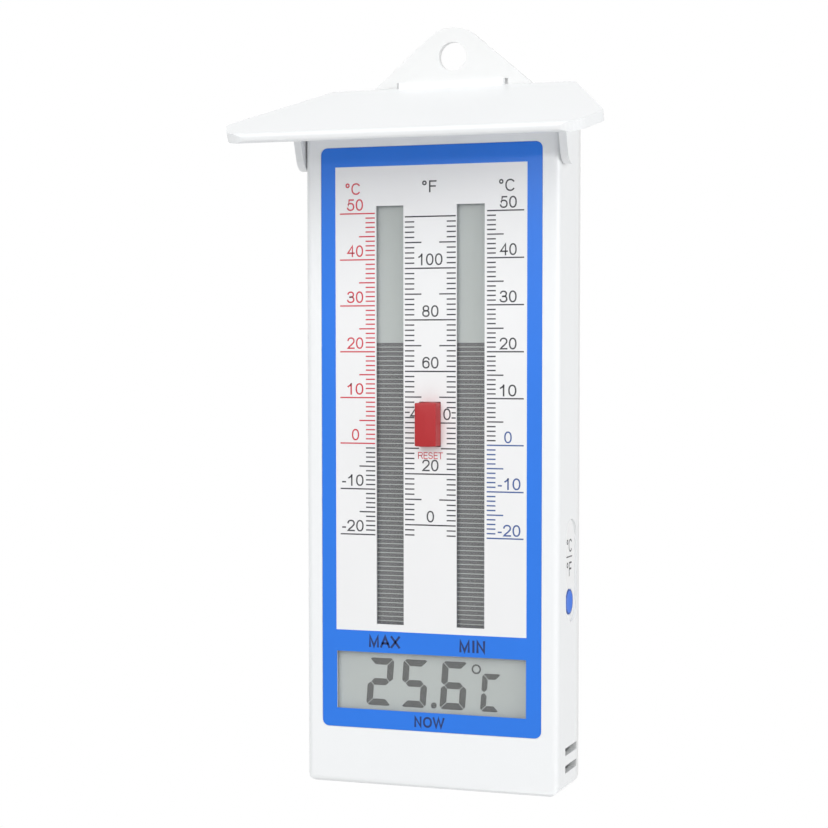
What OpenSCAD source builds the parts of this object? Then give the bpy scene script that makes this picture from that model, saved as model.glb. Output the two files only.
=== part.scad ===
// Maximum minimum thermometer with a rain hood, for the wall of a greenhouse or a potting shed.
// The origin is the centre of the hang hole on the wall plane. +X is to the right as the
// thermometer is read, +Y goes into the wall and +Z is up. Lengths in millimetres.

/* [Casing] */
// Width of the casing
body_w = 80; // [78:0.5:88]
// Depth of the casing, from the wall to its front face
body_d = 23; // [22.8:0.1:27]
// Height of the casing's front face, from its foot to the rain hood
body_h = 202.8; // [201:0.2:220]
// Thickness of the casing's sides and ends
case_wall = 2; // [1.6:0.1:2.4]
// Thickness of the casing's front wall
face_t = 1.8; // [1.7:0.1:2.2]
// Rounding of the casing's front edges
edge_r = 2; // [0.6:0.1:3]
// Rounding of the casing's lower corners
corner_r = 3.5; // [2.6:0.1:6]
// Thickness of the back cover
cover_t = 2.2; // [2:0.1:2.6]
// Depth of the back cover's locating lip inside the casing
lip_h = 1.5; // [1:0.1:2.5]
// Thickness of the locating lip
lip_t = 1.2; // [0.8:0.1:1.6]

/* [Hang tab] */
// Radius of the hang hole
hang_r = 4.37; // [3:0.01:5]
// Height of the hang hole above the casing's top edge at the wall
hang_rise = 10.9; // [10.6:0.1:15]
// Height of the tab's top above the centre of the hang hole
tab_rise = 8.8; // [8:0.1:12]
// Radius of the tab's rounded top
tab_r = 11.3; // [10:0.1:14]
// Slope of the tab's flanks, from level
tab_flank = 40; // [35:1:50]

/* [Rain hood] */
// Slope of the hood, up towards the wall
roof_pitch = 19.6; // [16:0.2:23]
// Thickness of the hood's rim
roof_t = 3; // [2.6:0.1:4]
// Thickness of the hood's plate inside its rim
roof_skin = 2.2; // [1.6:0.1:2.4]
// Width of the rim
rim_w = 2.4; // [1.6:0.1:4]
// Width of the hood's front edge
roof_front_w = 104.8; // [94:0.2:108]
// Width of the hood across its side corners
roof_w = 115.6; // [110:0.2:124]
// Width of the hood's back edge
roof_back_w = 77.8; // [70:0.2:84]
// Length of the hood down its slope
roof_l = 53.3; // [48:0.1:60]
// Length down the slope from the hood's back edge to its side corners
roof_side_l = 40.6; // [36:0.1:43]
// Rounding of the hood's front corners
roof_front_r = 8; // [2:0.5:10]
// Rounding of the hood's side corners
roof_side_r = 4.5; // [1:0.5:5]
// Rounding of the top and bottom of the hood's front edge
roof_nose_r = 1.3; // [0.4:0.1:1.3]
// Thickness of each cheek
cheek_t = 2.3; // [1.8:0.1:3]
// Length of each cheek along the slope
cheek_l = 12.5; // [11:0.5:20]
// Depth of each cheek below the top of the hood
cheek_h = 19.2; // [16:0.2:24]
// Length from the hood's front edge to the front of the cheeks
cheek_front = 25.5; // [23:0.1:29]
// Rounding of the cheeks' lower corners
cheek_r = 4.6; // [2:0.1:5.4]
// Height of the bumps that snap the cheeks into the casing
snap_h = 0.6; // [0.4:0.1:0.8]
// Radius of each snap bump
snap_r = 1.8; // [1.2:0.1:2.4]
// Width of the tongue that hooks the hood under the hang tab
tongue_w = 33.7; // [28:0.1:40]
// Height of the tongue above the hood's back edge
tongue_rise = 1.65; // [1:0.05:2]
// Length of the tongue in front of the back cover
tongue_l = 1.8; // [0.8:0.1:2.4]
// Depth of the pocket that takes the tongue
pocket_d = 0.9; // [0.8:0.1:1.4]

/* [Fascia] */
// Width of the printed label
label_w = 69.5; // [68.5:0.1:72]
// Height of the printed label
label_h = 175.5; // [174:0.1:180]
// Thickness of the printed label
label_t = 0.3; // [0.2:0.05:0.5]
// Rounding of the label's corners
label_r = 2; // [1:0.1:3]
// Height of the label's lower edge above the casing's foot
label_foot = 17.5; // [17.1:0.1:20]
// Width of each bar window
bar_w = 8.8; // [8:0.1:9.4]
// Height of each bar window
bar_h = 126; // [120:0.5:127]
// Distance between the centres of the two bar windows
bar_pitch = 25.5; // [25.1:0.1:26.5]
// Height of the bar windows above the label's lower edge
bar_foot = 31.9; // [31.5:0.1:34]
// Width of the digit window
digit_w = 60.2; // [56:0.2:61]
// Height of the digit window
digit_h = 17.5; // [16:0.1:18]
// Height of the digit window above the label's lower edge
digit_foot = 5.7; // [5.6:0.1:6.4]
// Width of the flange round each window plate
lens_flange = 1.5; // [1:0.1:1.6]
// Thickness of the flange, which sits in a pocket behind the front wall
lens_flange_t = 0.6; // [0.4:0.1:0.7]

/* [Displays and board] */
// Thickness of a display cell
cell_t = 2; // [1.6:0.1:2.2]
// Width of a display cell outside its window
cell_edge = 1.4; // [1:0.1:1.5]
// Length of a bar cell past each end of its window
cell_end = 3; // [2:0.1:3.4]
// Width of the contact ledge along a display cell
cell_ledge = 2.4; // [2:0.1:2.8]
// Width of a contact strip
strip_w = 1.8; // [1.2:0.1:1.9]
// Length of each bar contact strip
bar_strip_l = 60; // [40:1:90]
// Length of the digit contact strip
digit_strip_l = 52; // [40:1:56]
// Thickness of the display frame behind the cells
frame_floor = 1.6; // [1.2:0.1:1.8]
// Width of the display frame and board outside the digit cell
frame_edge = 1.3; // [1:0.1:1.8]
// Height of the display frame above the bar cells
frame_head = 1.8; // [1:0.1:3]
// Thickness of the circuit board
board_t = 1.2; // [1:0.1:1.6]
// Sideways distance of the board screws from the middle
board_screw_x = 27.5; // [26.5:0.1:28.5]
// Height of the lower board screws above the label's lower edge
board_screw_low = 40; // [38:0.5:44]
// Distance of the upper board screws below the top of the display frame
board_screw_drop = 12.7; // [10:0.1:16]
// Radius of a board screw's shank
board_screw_r = 1; // [0.8:0.05:1.2]
// Radius of a case screw's shank
case_screw_r = 1.3; // [1.1:0.05:1.5]
// Length of a case screw's shank
case_screw_l = 10; // [8:0.5:12]

/* [Clear button] */
// Width of the clear button
clear_w = 6.6; // [6:0.1:7.2]
// Height of the clear button
clear_h = 13.2; // [11:0.1:14]
// Height of the clear button's centre above the label's lower edge
clear_rise = 92.65; // [86:0.05:98]
// Length of the clear button in front of the label
clear_proud = 4.8; // [2.5:0.1:6]
// Bow of the clear button's ends
clear_bow = 0.15; // [0.1:0.05:0.6]
// Travel of the clear button
clear_travel = 0.4; // [0.2:0.05:0.45]

/* [Unit button] */
// Radius of the unit button
unit_r = 3.8; // [3.4:0.1:4.6]
// Height of the unit button's centre above the casing's foot
unit_rise = 56.8; // [50:0.2:80]
// Distance of the unit button's axis behind the casing's front face
unit_inset = 14.2; // [14:0.1:14.6]
// Depth of the unit button's face below the casing's side
unit_sink = 0.55; // [0.3:0.05:0.6]
// Travel of the unit button
unit_travel = 0.5; // [0.2:0.05:0.55]
// Width of the recess round the unit button
recess_w = 12; // [11.4:0.1:12.2]
// Height of the recess round the unit button
recess_h = 31; // [26:0.5:36]
// Depth of the recess
recess_d = 0.8; // [0.6:0.05:0.9]
// Thickness of the label in the recess
side_label_t = 0.15; // [0.1:0.05:0.25]

/* [Air slots] */
// Height of each air slot
slot_h = 2.35; // [1.6:0.05:3]
// Distance between the air slots
slot_pitch = 5.3; // [4.8:0.1:5.8]
// Number of air slots on each side
slot_count = 2; // [1:1:2]
// Height of the lowest air slot's centre above the casing's foot
slot_rise = 7; // [6:0.1:7.6]
// Distance of the air slots' front end behind the casing's front face
slot_inset = 8.1; // [7:0.1:10]

/* [Battery bay] */
// Radius of the battery cell
battery_r = 5.25; // [5:0.05:5.3]
// Length of the battery cell without its tip
battery_l = 43.5; // [42:0.1:44]
// Height of the bay's lower end above the casing's foot
bay_rise = 33.3; // [31:0.1:40]
// Thickness of the bay's walls
bay_wall = 0.9; // [0.8:0.1:1.1]
// Height of the sprung contact when the cell is in
spring_h = 4.6; // [4:0.1:6]
// Thickness of the battery door
door_t = 1.7; // [1.5:0.05:1.9]
// Width of the door's edge outside the bay
door_edge = 3; // [2.6:0.1:4]
// Radius of the door's snap-in pivot pins
pivot_r = 0.75; // [0.6:0.05:0.75]
// Length of each pivot pin
pivot_l = 1.6; // [1.2:0.1:2.4]

/* [Hidden] */
$fn = 64;

// Clearances
seat_gap = 0.1;      // pieces that rest against each other
slide_gap = 0.15;    // pieces that slide in an opening
pin_gap = 0.05;      // radial clearance of a turning or sliding pin
hood_gap = 0.2;      // hood to casing and back cover
cheek_gap = 0.3;     // cheek to casing side
bore_gap = 0.08;     // radial clearance of the unit button
lead_gap = 0.3;      // hole round a lead

// Depths, from the front face at the lowest Y to the wall at Y = 0
y_face = -body_d;
y_label = y_face + 0.05;
y_tray = y_label + label_t;
y_in = y_face + face_t;
y_lens = y_in - lens_flange_t;
y_cell = y_in + seat_gap;
y_cell_mid = y_cell + cell_t / 2;
y_cell_back = y_cell + cell_t;
y_frame = y_cell_back + frame_floor;
y_board = y_frame + 0.05;
y_board_back = y_board + board_t;
y_cover = -cover_t;
y_lip = y_cover - lip_h;
y_rib = y_lip - 0.3;
y_slot = y_face + slot_inset;
y_unit = y_face + unit_inset;

// Heights
foot_z = -hang_rise - body_d * tan(roof_pitch) - body_h;
label_z = foot_z + label_foot;
bar_z = label_z + bar_foot;
digit_z = label_z + digit_foot;
clear_z = label_z + clear_rise;
unit_z = foot_z + unit_rise;
frame_low_z = digit_z - lens_flange - cell_ledge - frame_edge;
frame_high_z = bar_z + bar_h + cell_end + frame_head;
frame_w = digit_w + 2 * (cell_edge + frame_edge);
cover_top_z = top_z(y_cover);
slot_mid_z = foot_z + slot_rise + (slot_count - 1) * slot_pitch / 2;
baffle_t = 1;
baffle_z = foot_z + slot_rise + (slot_count - 1) * slot_pitch + slot_h / 2 + 2;

// Half widths
side_x = body_w / 2;
inner_x = side_x - case_wall;

// The casing's top follows the hood's slope
function top_z(y) = -hang_rise + y * tan(roof_pitch);

// Hood
y_hood = y_cover - hood_gap;
hood_z = top_z(y_hood) + (roof_skin + hood_gap) / cos(roof_pitch);
tongue_z = hood_z + tongue_rise;
cheek_y = cheek_front - roof_l;

// Screws
case_screw_in = 7;
case_screw_low_x = 26;
case_screw_low_z = foot_z + 9.3;
case_screw_high_z = top_z(y_face) - 11;
case_screw_at = [[-side_x + case_screw_in, case_screw_high_z], [side_x - case_screw_in, case_screw_high_z],
                 [-case_screw_low_x, case_screw_low_z], [case_screw_low_x, case_screw_low_z]];
board_low_z = label_z + board_screw_low;
board_high_z = frame_high_z - board_screw_drop;
board_screw_at = [for (x = [-board_screw_x, board_screw_x], z = [board_low_z, board_high_z]) [x, z]];
case_boss_r = case_screw_r + 1.9;
board_boss_r = board_screw_r + 1.6;
head_t = 1.5;
head_over = 1.3;
seat_depth = head_t + 0.8;
cover_boss_h = 2.2;
y_case_boss = y_cover - cover_boss_h - seat_gap;

head_r = case_screw_r + head_over;
cover_boss_r = head_r + 1.4;
board_screw_l = 5;
web_t = 1.2;
rib_x = 20;
rib_low = 22;
rib_high = 62;
pad_t = 1.2;
pad_edge = 2.4;
lens_step = 0.2;
lens_pad = 0.3;
roof_back_r = 1.5;
snap_z = 6 - cheek_h;
tongue_h = 3.1;
pocket_end = 1;
pocket_gap = 0.15;

// Displays
floor_end = 4;
floor_side = 2.5;
floor_rim = 3;
frame_rail = 1.4;
frame_land = 5;
bar_cell_x = bar_pitch / 2 - bar_w / 2 - cell_edge;
bar_ledge_x = bar_pitch / 2 + bar_w / 2 + cell_edge;
digit_ledge_z = digit_z - cell_edge;

// Clear button and its switch
y_clear = y_label - clear_proud;
y_clear_back = y_in + seat_gap + 1;
y_collar = y_clear_back + 0.6;
crown_r = 60;
switch_floor = 0.5;
clear_flange = 1.2;
clear_flange_t = 1;
collar_t = 0.9;
switch_w = 6;
plunger_r = 1.6;
clear_switch_h = 1.9;
y_clear_switch = y_board - clear_switch_h;
plunger_bite = 1;

// Unit button and its switch
unit_flange = 1;
unit_flange_t = 1;
unit_face_x = side_x - unit_sink;
unit_back_x = inner_x - seat_gap - unit_flange_t;
unit_switch_h = 3.4;
unit_switch_x = unit_back_x - 1;
unit_board_x = unit_switch_x - unit_switch_h;
unit_board_t = 1.2;
unit_board_h = 15;
unit_board_w = 9.6;
unit_lead_rise = 5;
rail_t = 2;
rail_groove = 0.8;
rail_lip = 0.9;

// Sensor
bead_x = inner_x - 3.4;
bead_r = 1.3;
bead_l = 3.2;
lead_r = 0.28;
lead_pitch = 1.2;
lead_x = bead_x - 2.2;
y_lead = y_board_back + 5;

// Parts on the board
chip_at = [18, clear_z - 12];
dome_r = 9;
dome_h = 1.4;
crystal_r = 1;
crystal_l = 6.2;
crystal_rise = 18;
part_x = 9;
part_pitch = 6;
row_pitch = 5;
row_rise = 13;
small_part = [2.4, 1.3, 0.7];
large_part = [3.2, 1.7, 1.1];
cap_l = 0.4;
cap_t = 0.05;
can_r = 2.3;
can_l = 5.4;
can_foot = 0.3;
can_foot_t = 0.6;
can_drop = 17;

// Battery bay
bay_room = 0.3;
spring_low_r = 3.6;
spring_high_r = 2.2;
spring_wire_r = 0.35;
bay_x = battery_r + bay_room;
y_door = -door_t - seat_gap;
y_ledge = y_door - seat_gap;
y_cell_axis = y_ledge - bay_room - battery_r;
y_bay = y_cell_axis - battery_r - bay_room;
tip_r = 1.9;
tip_l = 1;
sheet_t = 0.3;
bay_z = foot_z + bay_rise;
bay_l = spring_h + battery_l + tip_l + 2 * (sheet_t + 0.05);
bay_top_z = bay_z + bay_l;
battery_z = bay_z + 0.05 + sheet_t + spring_h;
tail_w = 3;
contact_x = 4.2;
tail_l = 2.4;
y_tail = y_bay + 0.5;
door_x = bay_x + door_edge;
door_low_z = bay_z - door_edge;
pivot_z = bay_top_z + door_edge + door_t / 2;
y_pivot = y_door + door_t / 2;
thumb_r = 6;
thumb_d = 1.1;
groove_w = 0.8;
groove_d = 0.4;
groove_in = 3;
groove_pitch = 2;
groove_z = door_low_z + groove_in;
wire_r = 0.55;

// Draws its flat child, in X and Z, from y0 to y1
module along_y(y0, y1) {
    translate([0, y1, 0]) rotate([90, 0, 0]) linear_extrude(y1 - y0) children();
}

// Draws its flat child, in Y and Z, from x0 to x1
module along_x(x0, x1) {
    translate([x0, 0, 0]) rotate([90, 0, 90]) linear_extrude(x1 - x0) children();
}

// Draws its child once on the right and once mirrored on the left
module both_sides() {
    children();
    mirror([1, 0, 0]) children();
}

// A block between two corners
module block(low, high) {
    translate(low) cube(high - low);
}

// A rectangle from its low corner to its high corner
module panel(low, high) {
    translate(low) square(high - low);
}

// A rectangle with its four corners rounded
module round_panel(low, high, r) {
    translate([low.x + r, low.y]) square([high.x - low.x - 2 * r, high.y - low.y]);
    translate([low.x, low.y + r]) square([high.x - low.x, high.y - low.y - 2 * r]);
    for (x = [low.x + r, high.x - r], y = [low.y + r, high.y - r]) translate([x, y]) circle(r);
}

// An upright slot with round ends
module stadium(centre, r, run) {
    translate([centre.x - r, centre.y]) square([2 * r, run]);
    translate(centre) circle(r);
    translate([centre.x, centre.y + run]) circle(r);
}

// Points of a round corner of radius r at b, between the edges that come from a and go to c
function corner_arc(a, b, c, r, steps = 8) =
    let (u = (a - b) / norm(a - b), w = (c - b) / norm(c - b))
    let (half = acos(u * w) / 2, turn = 180 - 2 * half, side = sign(cross(u, w)))
    let (centre = b + (u + w) / norm(u + w) * r / sin(half))
    let (start = b + u * r / tan(half) - centre)
    [for (i = [0:steps]) let (t = -side * turn * i / steps)
        centre + [start.x * cos(t) - start.y * sin(t), start.x * sin(t) + start.y * cos(t)]];

// A closed outline with the corners of radius r[i] at p[i]
function round_outline(p, r) = [for (i = [0:len(p) - 1])
    each corner_arc(p[(i + len(p) - 1) % len(p)], p[i], p[(i + 1) % len(p)], r[i])];

// A tube of radius r along the points of a path that never runs parallel to side
module tube(path, r, side, sides = 8) {
    last = len(path) - 1;
    function along(i) = path[min(i + 1, last)] - path[max(i - 1, 0)];
    function across(i) = let (n = cross(along(i), side)) n / norm(n);
    function third(i) = let (n = cross(across(i), along(i))) n / norm(n);
    rings = [for (i = [0:last], k = [0:sides - 1])
        path[i] + r * (across(i) * cos(360 * k / sides) + third(i) * sin(360 * k / sides))];
    skin = [for (i = [0:last - 1], k = [0:sides - 1])
        let (a = i * sides + k, b = i * sides + (k + 1) % sides) [a, b, b + sides, a + sides]];
    caps = [[for (k = [0:sides - 1]) sides - 1 - k], [for (k = [0:sides - 1]) last * sides + k]];
    polyhedron(rings, concat(skin, caps), convexity = 4);
}

// A smooth path of steps points along four control points
function bend(a, b, c, d, steps = 14) = [for (i = [0:steps]) let (t = i / steps, s = 1 - t)
    a * s * s * s + b * 3 * s * s * t + c * 3 * s * t * t + d * t * t * t];

// A pan-head screw that points along -Y from the seat of its head at y
module screw(at, y, r, l) {
    translate([at.x, y, at.y]) rotate([90, 0, 0]) {
        cylinder(l - r, r = r);
        translate([0, 0, l - r]) cylinder(r, r1 = r, r2 = 0.2 * r);
        translate([0, 0, -head_t]) cylinder(head_t, r = r + head_over);
    }
}

// ---- Casing ----

// The casing's outline from the front, with rounded lower corners
module case_front(margin, r, high) {
    x = side_x - margin;
    low = foot_z + margin;
    panel([-x, low + r], [x, high]);
    panel([r - x, low], [x - r, high]);
    for (side = [-1, 1]) translate([side * (x - r), low + r]) circle(r);
}

// The casing without its hollow
module case_solid() {
    intersection() {
        along_y(y_face, y_cover) case_front(0, corner_r, 0);
        translate([0, 0, foot_z]) linear_extrude(-foot_z) {
            panel([-side_x, y_face + edge_r], [side_x, y_cover]);
            panel([edge_r - side_x, y_face], [side_x - edge_r, y_cover]);
            for (side = [-1, 1]) translate([side * (side_x - edge_r), y_face + edge_r]) circle(edge_r);
        }
        along_x(-side_x, side_x) {
            polygon([[y_cover, foot_z], [y_cover, top_z(y_cover)], [y_face, top_z(y_face)],
                     [y_face, foot_z + edge_r], [y_face + edge_r, foot_z + edge_r],
                     [y_face + edge_r, foot_z]]);
            translate([y_face + edge_r, foot_z + edge_r]) circle(edge_r);
        }
    }
}

// The casing's hollow
module case_hollow() {
    drop = case_wall / cos(roof_pitch);
    intersection() {
        along_y(y_in, y_cover + 1) case_front(case_wall, corner_r - case_wall, 0);
        along_x(-side_x, side_x) polygon([[y_in, foot_z], [y_cover + 1, foot_z],
            [y_cover + 1, top_z(y_cover + 1) - drop], [y_in, top_z(y_in) - drop]]);
    }
}

// A bar window's opening on the right, grown by margin
module bar_panel(margin) {
    x = bar_pitch / 2;
    panel([x - bar_w / 2 - margin, bar_z - margin], [x + bar_w / 2 + margin, bar_z + bar_h + margin]);
}

// The digit window's opening, grown by margin
module digit_panel(margin) {
    x = digit_w / 2 + margin;
    panel([-x, digit_z - margin], [x, digit_z + digit_h + margin]);
}

// All window openings, grown by margin
module window_panels(margin) {
    both_sides() bar_panel(margin);
    digit_panel(margin);
}

// The clear button's opening, grown by margin
module clear_panel(margin) {
    x = clear_w / 2 + margin;
    z = clear_h / 2 + margin;
    panel([-x, clear_z - z], [x, clear_z + z]);
}

// The collar round the clear button
module clear_collar() {
    along_y(y_in - 0.1, y_collar) difference() {
        clear_panel(clear_flange + slide_gap + collar_t);
        clear_panel(clear_flange + slide_gap);
    }
}

// Screw bosses of the case, with a web from each upper boss to the side wall
module case_bosses() {
    along_y(y_in - 0.1, y_case_boss) for (at = case_screw_at) translate(at) circle(case_boss_r);
    along_y(y_in - 0.1, y_board - seat_gap) for (at = board_screw_at) translate(at) circle(board_boss_r);
    both_sides() block([side_x - case_screw_in, y_in - 0.1, case_screw_high_z - web_t / 2],
                       [inner_x + 0.1, y_rib - 2, case_screw_high_z + web_t / 2]);
    both_sides() block([case_screw_low_x - web_t / 2, y_in - 0.1, foot_z + case_wall - 0.1],
                       [case_screw_low_x + web_t / 2, y_rib - 2, case_screw_low_z]);
}

// The two grooved rails that hold the unit switch's board
module unit_rails() {
    x = unit_board_x - unit_board_t;
    for (side = [-1, 1]) {
        inner_edge = side * (unit_board_h / 2 - rail_groove);
        outer_edge = side * (unit_board_h / 2 - rail_groove + rail_t);
        difference() {
            block([x - rail_lip, y_unit - unit_board_w / 2 - 1, unit_z + min(inner_edge, outer_edge)],
                  [inner_x + 0.1, y_rib, unit_z + max(inner_edge, outer_edge)]);
            block([x - seat_gap, y_unit - unit_board_w / 2 - seat_gap,
                   unit_z - unit_board_h / 2 - seat_gap],
                  [unit_board_x + seat_gap, 0, unit_z + unit_board_h / 2 + seat_gap]);
        }
    }
}

// The wall between the displays and the chamber behind the air slots
module baffle() {
    difference() {
        block([-inner_x - 0.1, y_in - 0.1, baffle_z], [inner_x + 0.1, y_rib, baffle_z + baffle_t]);
        block([lead_x - 2 * lead_r - lead_gap, y_lead - lead_r - lead_gap, baffle_z - 1],
              [lead_x + 2 * lead_r + lead_gap, 0, baffle_z + baffle_t + 1]);
    }
}

// Air slots on both sides, open at the back where the cover closes them
module air_slots() {
    both_sides() for (i = [0:slot_count - 1])
        block([inner_x - 1, y_slot, foot_z + slot_rise + i * slot_pitch - slot_h / 2],
              [side_x + 1, 0, foot_z + slot_rise + i * slot_pitch + slot_h / 2]);
}

// The outline of the recess in the casing's right side, drawn in by margin
module recess_panel(margin) {
    stadium([y_unit, unit_z], recess_w / 2 - margin, recess_h - recess_w);
}

module front_case() {
    color("white") difference() {
        union() {
            difference() {
                case_solid();
                case_hollow();
            }
            clear_collar();
            case_bosses();
            unit_rails();
            baffle();
        }
        along_y(y_face - 1, y_tray) round_panel([-label_w / 2 - seat_gap, label_z - seat_gap],
            [label_w / 2 + seat_gap, label_z + label_h + seat_gap], label_r + seat_gap);
        along_y(y_face - 1, y_in + 0.1) window_panels(lens_step);
        along_y(y_lens, y_in + 0.1) window_panels(lens_flange + seat_gap);
        along_y(y_face - 1, y_in + 0.1) clear_panel(slide_gap);
        along_x(side_x - recess_d, side_x + 1) recess_panel(0);
        translate([inner_x - 1, y_unit, unit_z]) rotate([0, 90, 0])
            cylinder(case_wall + 2, r = unit_r + bore_gap);
        air_slots();
        along_y(y_case_boss - case_screw_l, 0) for (at = case_screw_at)
            translate(at) circle(case_screw_r + 0.02);
        along_y(y_board_back - board_screw_l - 0.1, 0) for (at = board_screw_at)
            translate(at) circle(board_screw_r + 0.02);
        snaps(0.15);
    }
}

// ---- Back cover ----

// The cover's outline from the front, with the hang tab
module cover_outline() {
    case_front(0, corner_r, cover_top_z);
    tab_z = tab_rise - tab_r;
    touch = [tab_r * sin(tab_flank), tab_z + tab_r * cos(tab_flank)];
    low = cover_top_z - 1;
    flank = touch.x + (touch.y - low) / tan(tab_flank);
    translate([0, tab_z]) circle(tab_r);
    polygon([[-flank, low], [flank, low], touch, [-touch.x, touch.y]]);
}

// The lip that locates the cover in the casing
module cover_lip() {
    high = top_z(y_lip) - case_wall / cos(roof_pitch) - slide_gap;
    r = corner_r - case_wall;
    difference() {
        along_y(y_lip, y_cover + 0.1) difference() {
            case_front(case_wall + slide_gap, r, high);
            case_front(case_wall + slide_gap + lip_t, r, high - lip_t);
        }
        both_sides() block([inner_x - 3, y_lip - 1, 2 * slot_mid_z - baffle_z],
                           [side_x, y_cover + 0.2, baffle_z]);
        block([inner_x - 3, y_lip - 1, unit_z - unit_r - unit_flange - 1],
              [side_x, y_cover + 0.2, unit_z + unit_r + unit_flange + 1]);
    }
}

// The battery bay's walls, the pad behind the door's rebate and the cover's ribs
module cover_inside() {
    block([-bay_x - bay_wall, y_bay - bay_wall, bay_z - bay_wall],
          [bay_x + bay_wall, y_cover + 0.1, bay_top_z + bay_wall]);
    block([-door_x - pad_edge, y_cover - pad_t, door_low_z - pad_edge],
          [door_x + pad_edge, y_cover + 0.1, pivot_z + door_t / 2 + pad_edge]);
    for (at = case_screw_at)
        along_y(y_cover - cover_boss_h, y_cover + 0.1) translate(at) circle(cover_boss_r);
    block([unit_board_x - unit_board_t - 0.5, y_unit + unit_board_w / 2 + seat_gap, unit_z - 5],
          [unit_board_x + 0.5, y_cover + 0.1, unit_z + 5]);
    for (x = [-rib_x, rib_x])
        block([x - web_t / 2, y_cover - pad_t, baffle_z + 6],
              [x + web_t / 2, y_cover + 0.1, case_screw_high_z - 10]);
    for (z = [bay_top_z + rib_low, bay_top_z + rib_high])
        block([-rib_x, y_cover - pad_t, z - web_t / 2], [rib_x, y_cover + 0.1, z + web_t / 2]);
}

// The door's rebate, its pivot sockets and the notch for a fingernail
module door_rebate() {
    block([-door_x - slide_gap, y_ledge, door_low_z - slide_gap],
          [door_x + slide_gap, 1, pivot_z + door_t / 2 + 0.25]);
    x = door_x + pivot_l + seat_gap;
    translate([-x, y_pivot, pivot_z]) rotate([0, 90, 0]) cylinder(2 * x, r = pivot_r + pin_gap);
    block([-x, y_pivot, pivot_z - 0.8 * pivot_r], [x, 1, pivot_z + 0.8 * pivot_r]);
    along_y(-thumb_d, 1) translate([0, door_low_z + 1]) circle(thumb_r);
}

// Slots for the tails of the two battery contacts
module tail_slots() {
    block([-tail_w / 2 - seat_gap, y_tail - seat_gap, bay_z - bay_wall - 1],
          [tail_w / 2 + seat_gap, y_tail + sheet_t + seat_gap, bay_top_z + bay_wall + 1]);
}

module back_cover() {
    color("white") difference() {
        union() {
            along_y(y_cover, 0) cover_outline();
            cover_lip();
            cover_inside();
        }
        translate([0, 1, 0]) rotate([90, 0, 0]) cylinder(cover_t + 2, r = hang_r);
        block([-tongue_w / 2 - pocket_end, y_cover - 1, tongue_z - tongue_h - pocket_gap],
              [tongue_w / 2 + pocket_end, y_cover + pocket_d, tongue_z + pocket_gap]);
        for (at = case_screw_at) along_y(-10, 1) translate(at) circle(case_screw_r + 0.3);
        for (at = case_screw_at) along_y(-seat_depth, 1) translate(at) circle(head_r + 0.4);
        door_rebate();
        block([-bay_x, y_bay, bay_z], [bay_x, 1, bay_top_z]);
        tail_slots();
    }
}

// ---- Rain hood ----

// Puts its child on the hood's slope: Y runs up the slope from 0 at the back edge, Z is square to it
module on_slope() {
    translate([0, y_hood, hood_z]) rotate([roof_pitch, 0, 0]) children();
}

hood_outline = round_outline(
    [[-roof_front_w / 2, -roof_l], [roof_front_w / 2, -roof_l], [roof_w / 2, -roof_side_l],
     [roof_back_w / 2, 0], [-roof_back_w / 2, 0], [-roof_w / 2, -roof_side_l]],
    [roof_front_r, roof_front_r, roof_side_r, roof_back_r, roof_back_r, roof_side_r]);

// The bumps that snap the cheeks into the casing's sides, grown by margin
module snaps(margin) {
    r = snap_r + margin + 0.1;
    both_sides() on_slope() translate([side_x + cheek_gap + 0.1, cheek_y + cheek_l / 2, snap_z])
        rotate([0, -90, 0]) cylinder(snap_h + margin + 0.1, r1 = r, r2 = snap_r - snap_h);
}

// The right-hand cheek
module cheek() {
    front = cheek_y;
    back = cheek_y + cheek_l;
    on_slope() along_x(side_x + cheek_gap, side_x + cheek_gap + cheek_t) {
        panel([front, cheek_r - cheek_h], [back, -roof_skin + 0.1]);
        panel([front + cheek_r, -cheek_h], [back - cheek_r, -roof_skin + 0.1]);
        for (u = [front + cheek_r, back - cheek_r]) translate([u, cheek_r - cheek_h]) circle(cheek_r);
    }
}

// The hood's plate with its rim
module hood_plate() {
    strip = side_x + cheek_gap + cheek_t;
    on_slope() difference() {
        translate([0, 0, -roof_t]) linear_extrude(roof_t) polygon(hood_outline);
        translate([0, 0, -roof_t - 1]) linear_extrude(roof_t - roof_skin + 1) {
            offset(delta = -rim_w) polygon(hood_outline);
            panel([-strip, -roof_side_l + 4], [strip, 5]);
        }
        along_x(-roof_w, roof_w) difference() {
            panel([-roof_l - 1, -roof_nose_r], [roof_nose_r - roof_l, 1]);
            translate([roof_nose_r - roof_l, -roof_nose_r]) circle(roof_nose_r);
        }
        along_x(-roof_w, roof_w) difference() {
            panel([-roof_l - 1, -roof_t - 1], [roof_nose_r - roof_l, roof_nose_r - roof_t]);
            translate([roof_nose_r - roof_l, roof_nose_r - roof_t]) circle(roof_nose_r);
        }
    }
}

module rain_hood() {
    color("white") union() {
        difference() {
            hood_plate();
            block([-roof_w, y_hood, tongue_z - 60], [roof_w, 20, tongue_z + 60]);
        }
        both_sides() cheek();
        snaps(0);
        block([-tongue_w / 2, y_cover - tongue_l, tongue_z - tongue_h],
              [tongue_w / 2, y_cover + pocket_d - seat_gap, tongue_z]);
    }
}

// ---- Fascia ----

module fascia_label() {
    color("royalblue") along_y(y_label, y_tray) difference() {
        round_panel([-label_w / 2, label_z], [label_w / 2, label_z + label_h], label_r);
        window_panels(0);
        clear_panel(slide_gap);
    }
}

module side_label() {
    color("whitesmoke") along_x(side_x - recess_d, side_x - recess_d + side_label_t) difference() {
        recess_panel(seat_gap);
        translate([y_unit, unit_z]) circle(unit_r + 0.4);
    }
}

// The right-hand bar window, a clear plate with a step that fits the opening
module bar_window() {
    color("lightcyan") {
        along_y(y_lens, y_in) bar_panel(lens_flange);
        along_y(y_lens - lens_pad, y_in) bar_panel(lens_step - seat_gap);
    }
}

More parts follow.
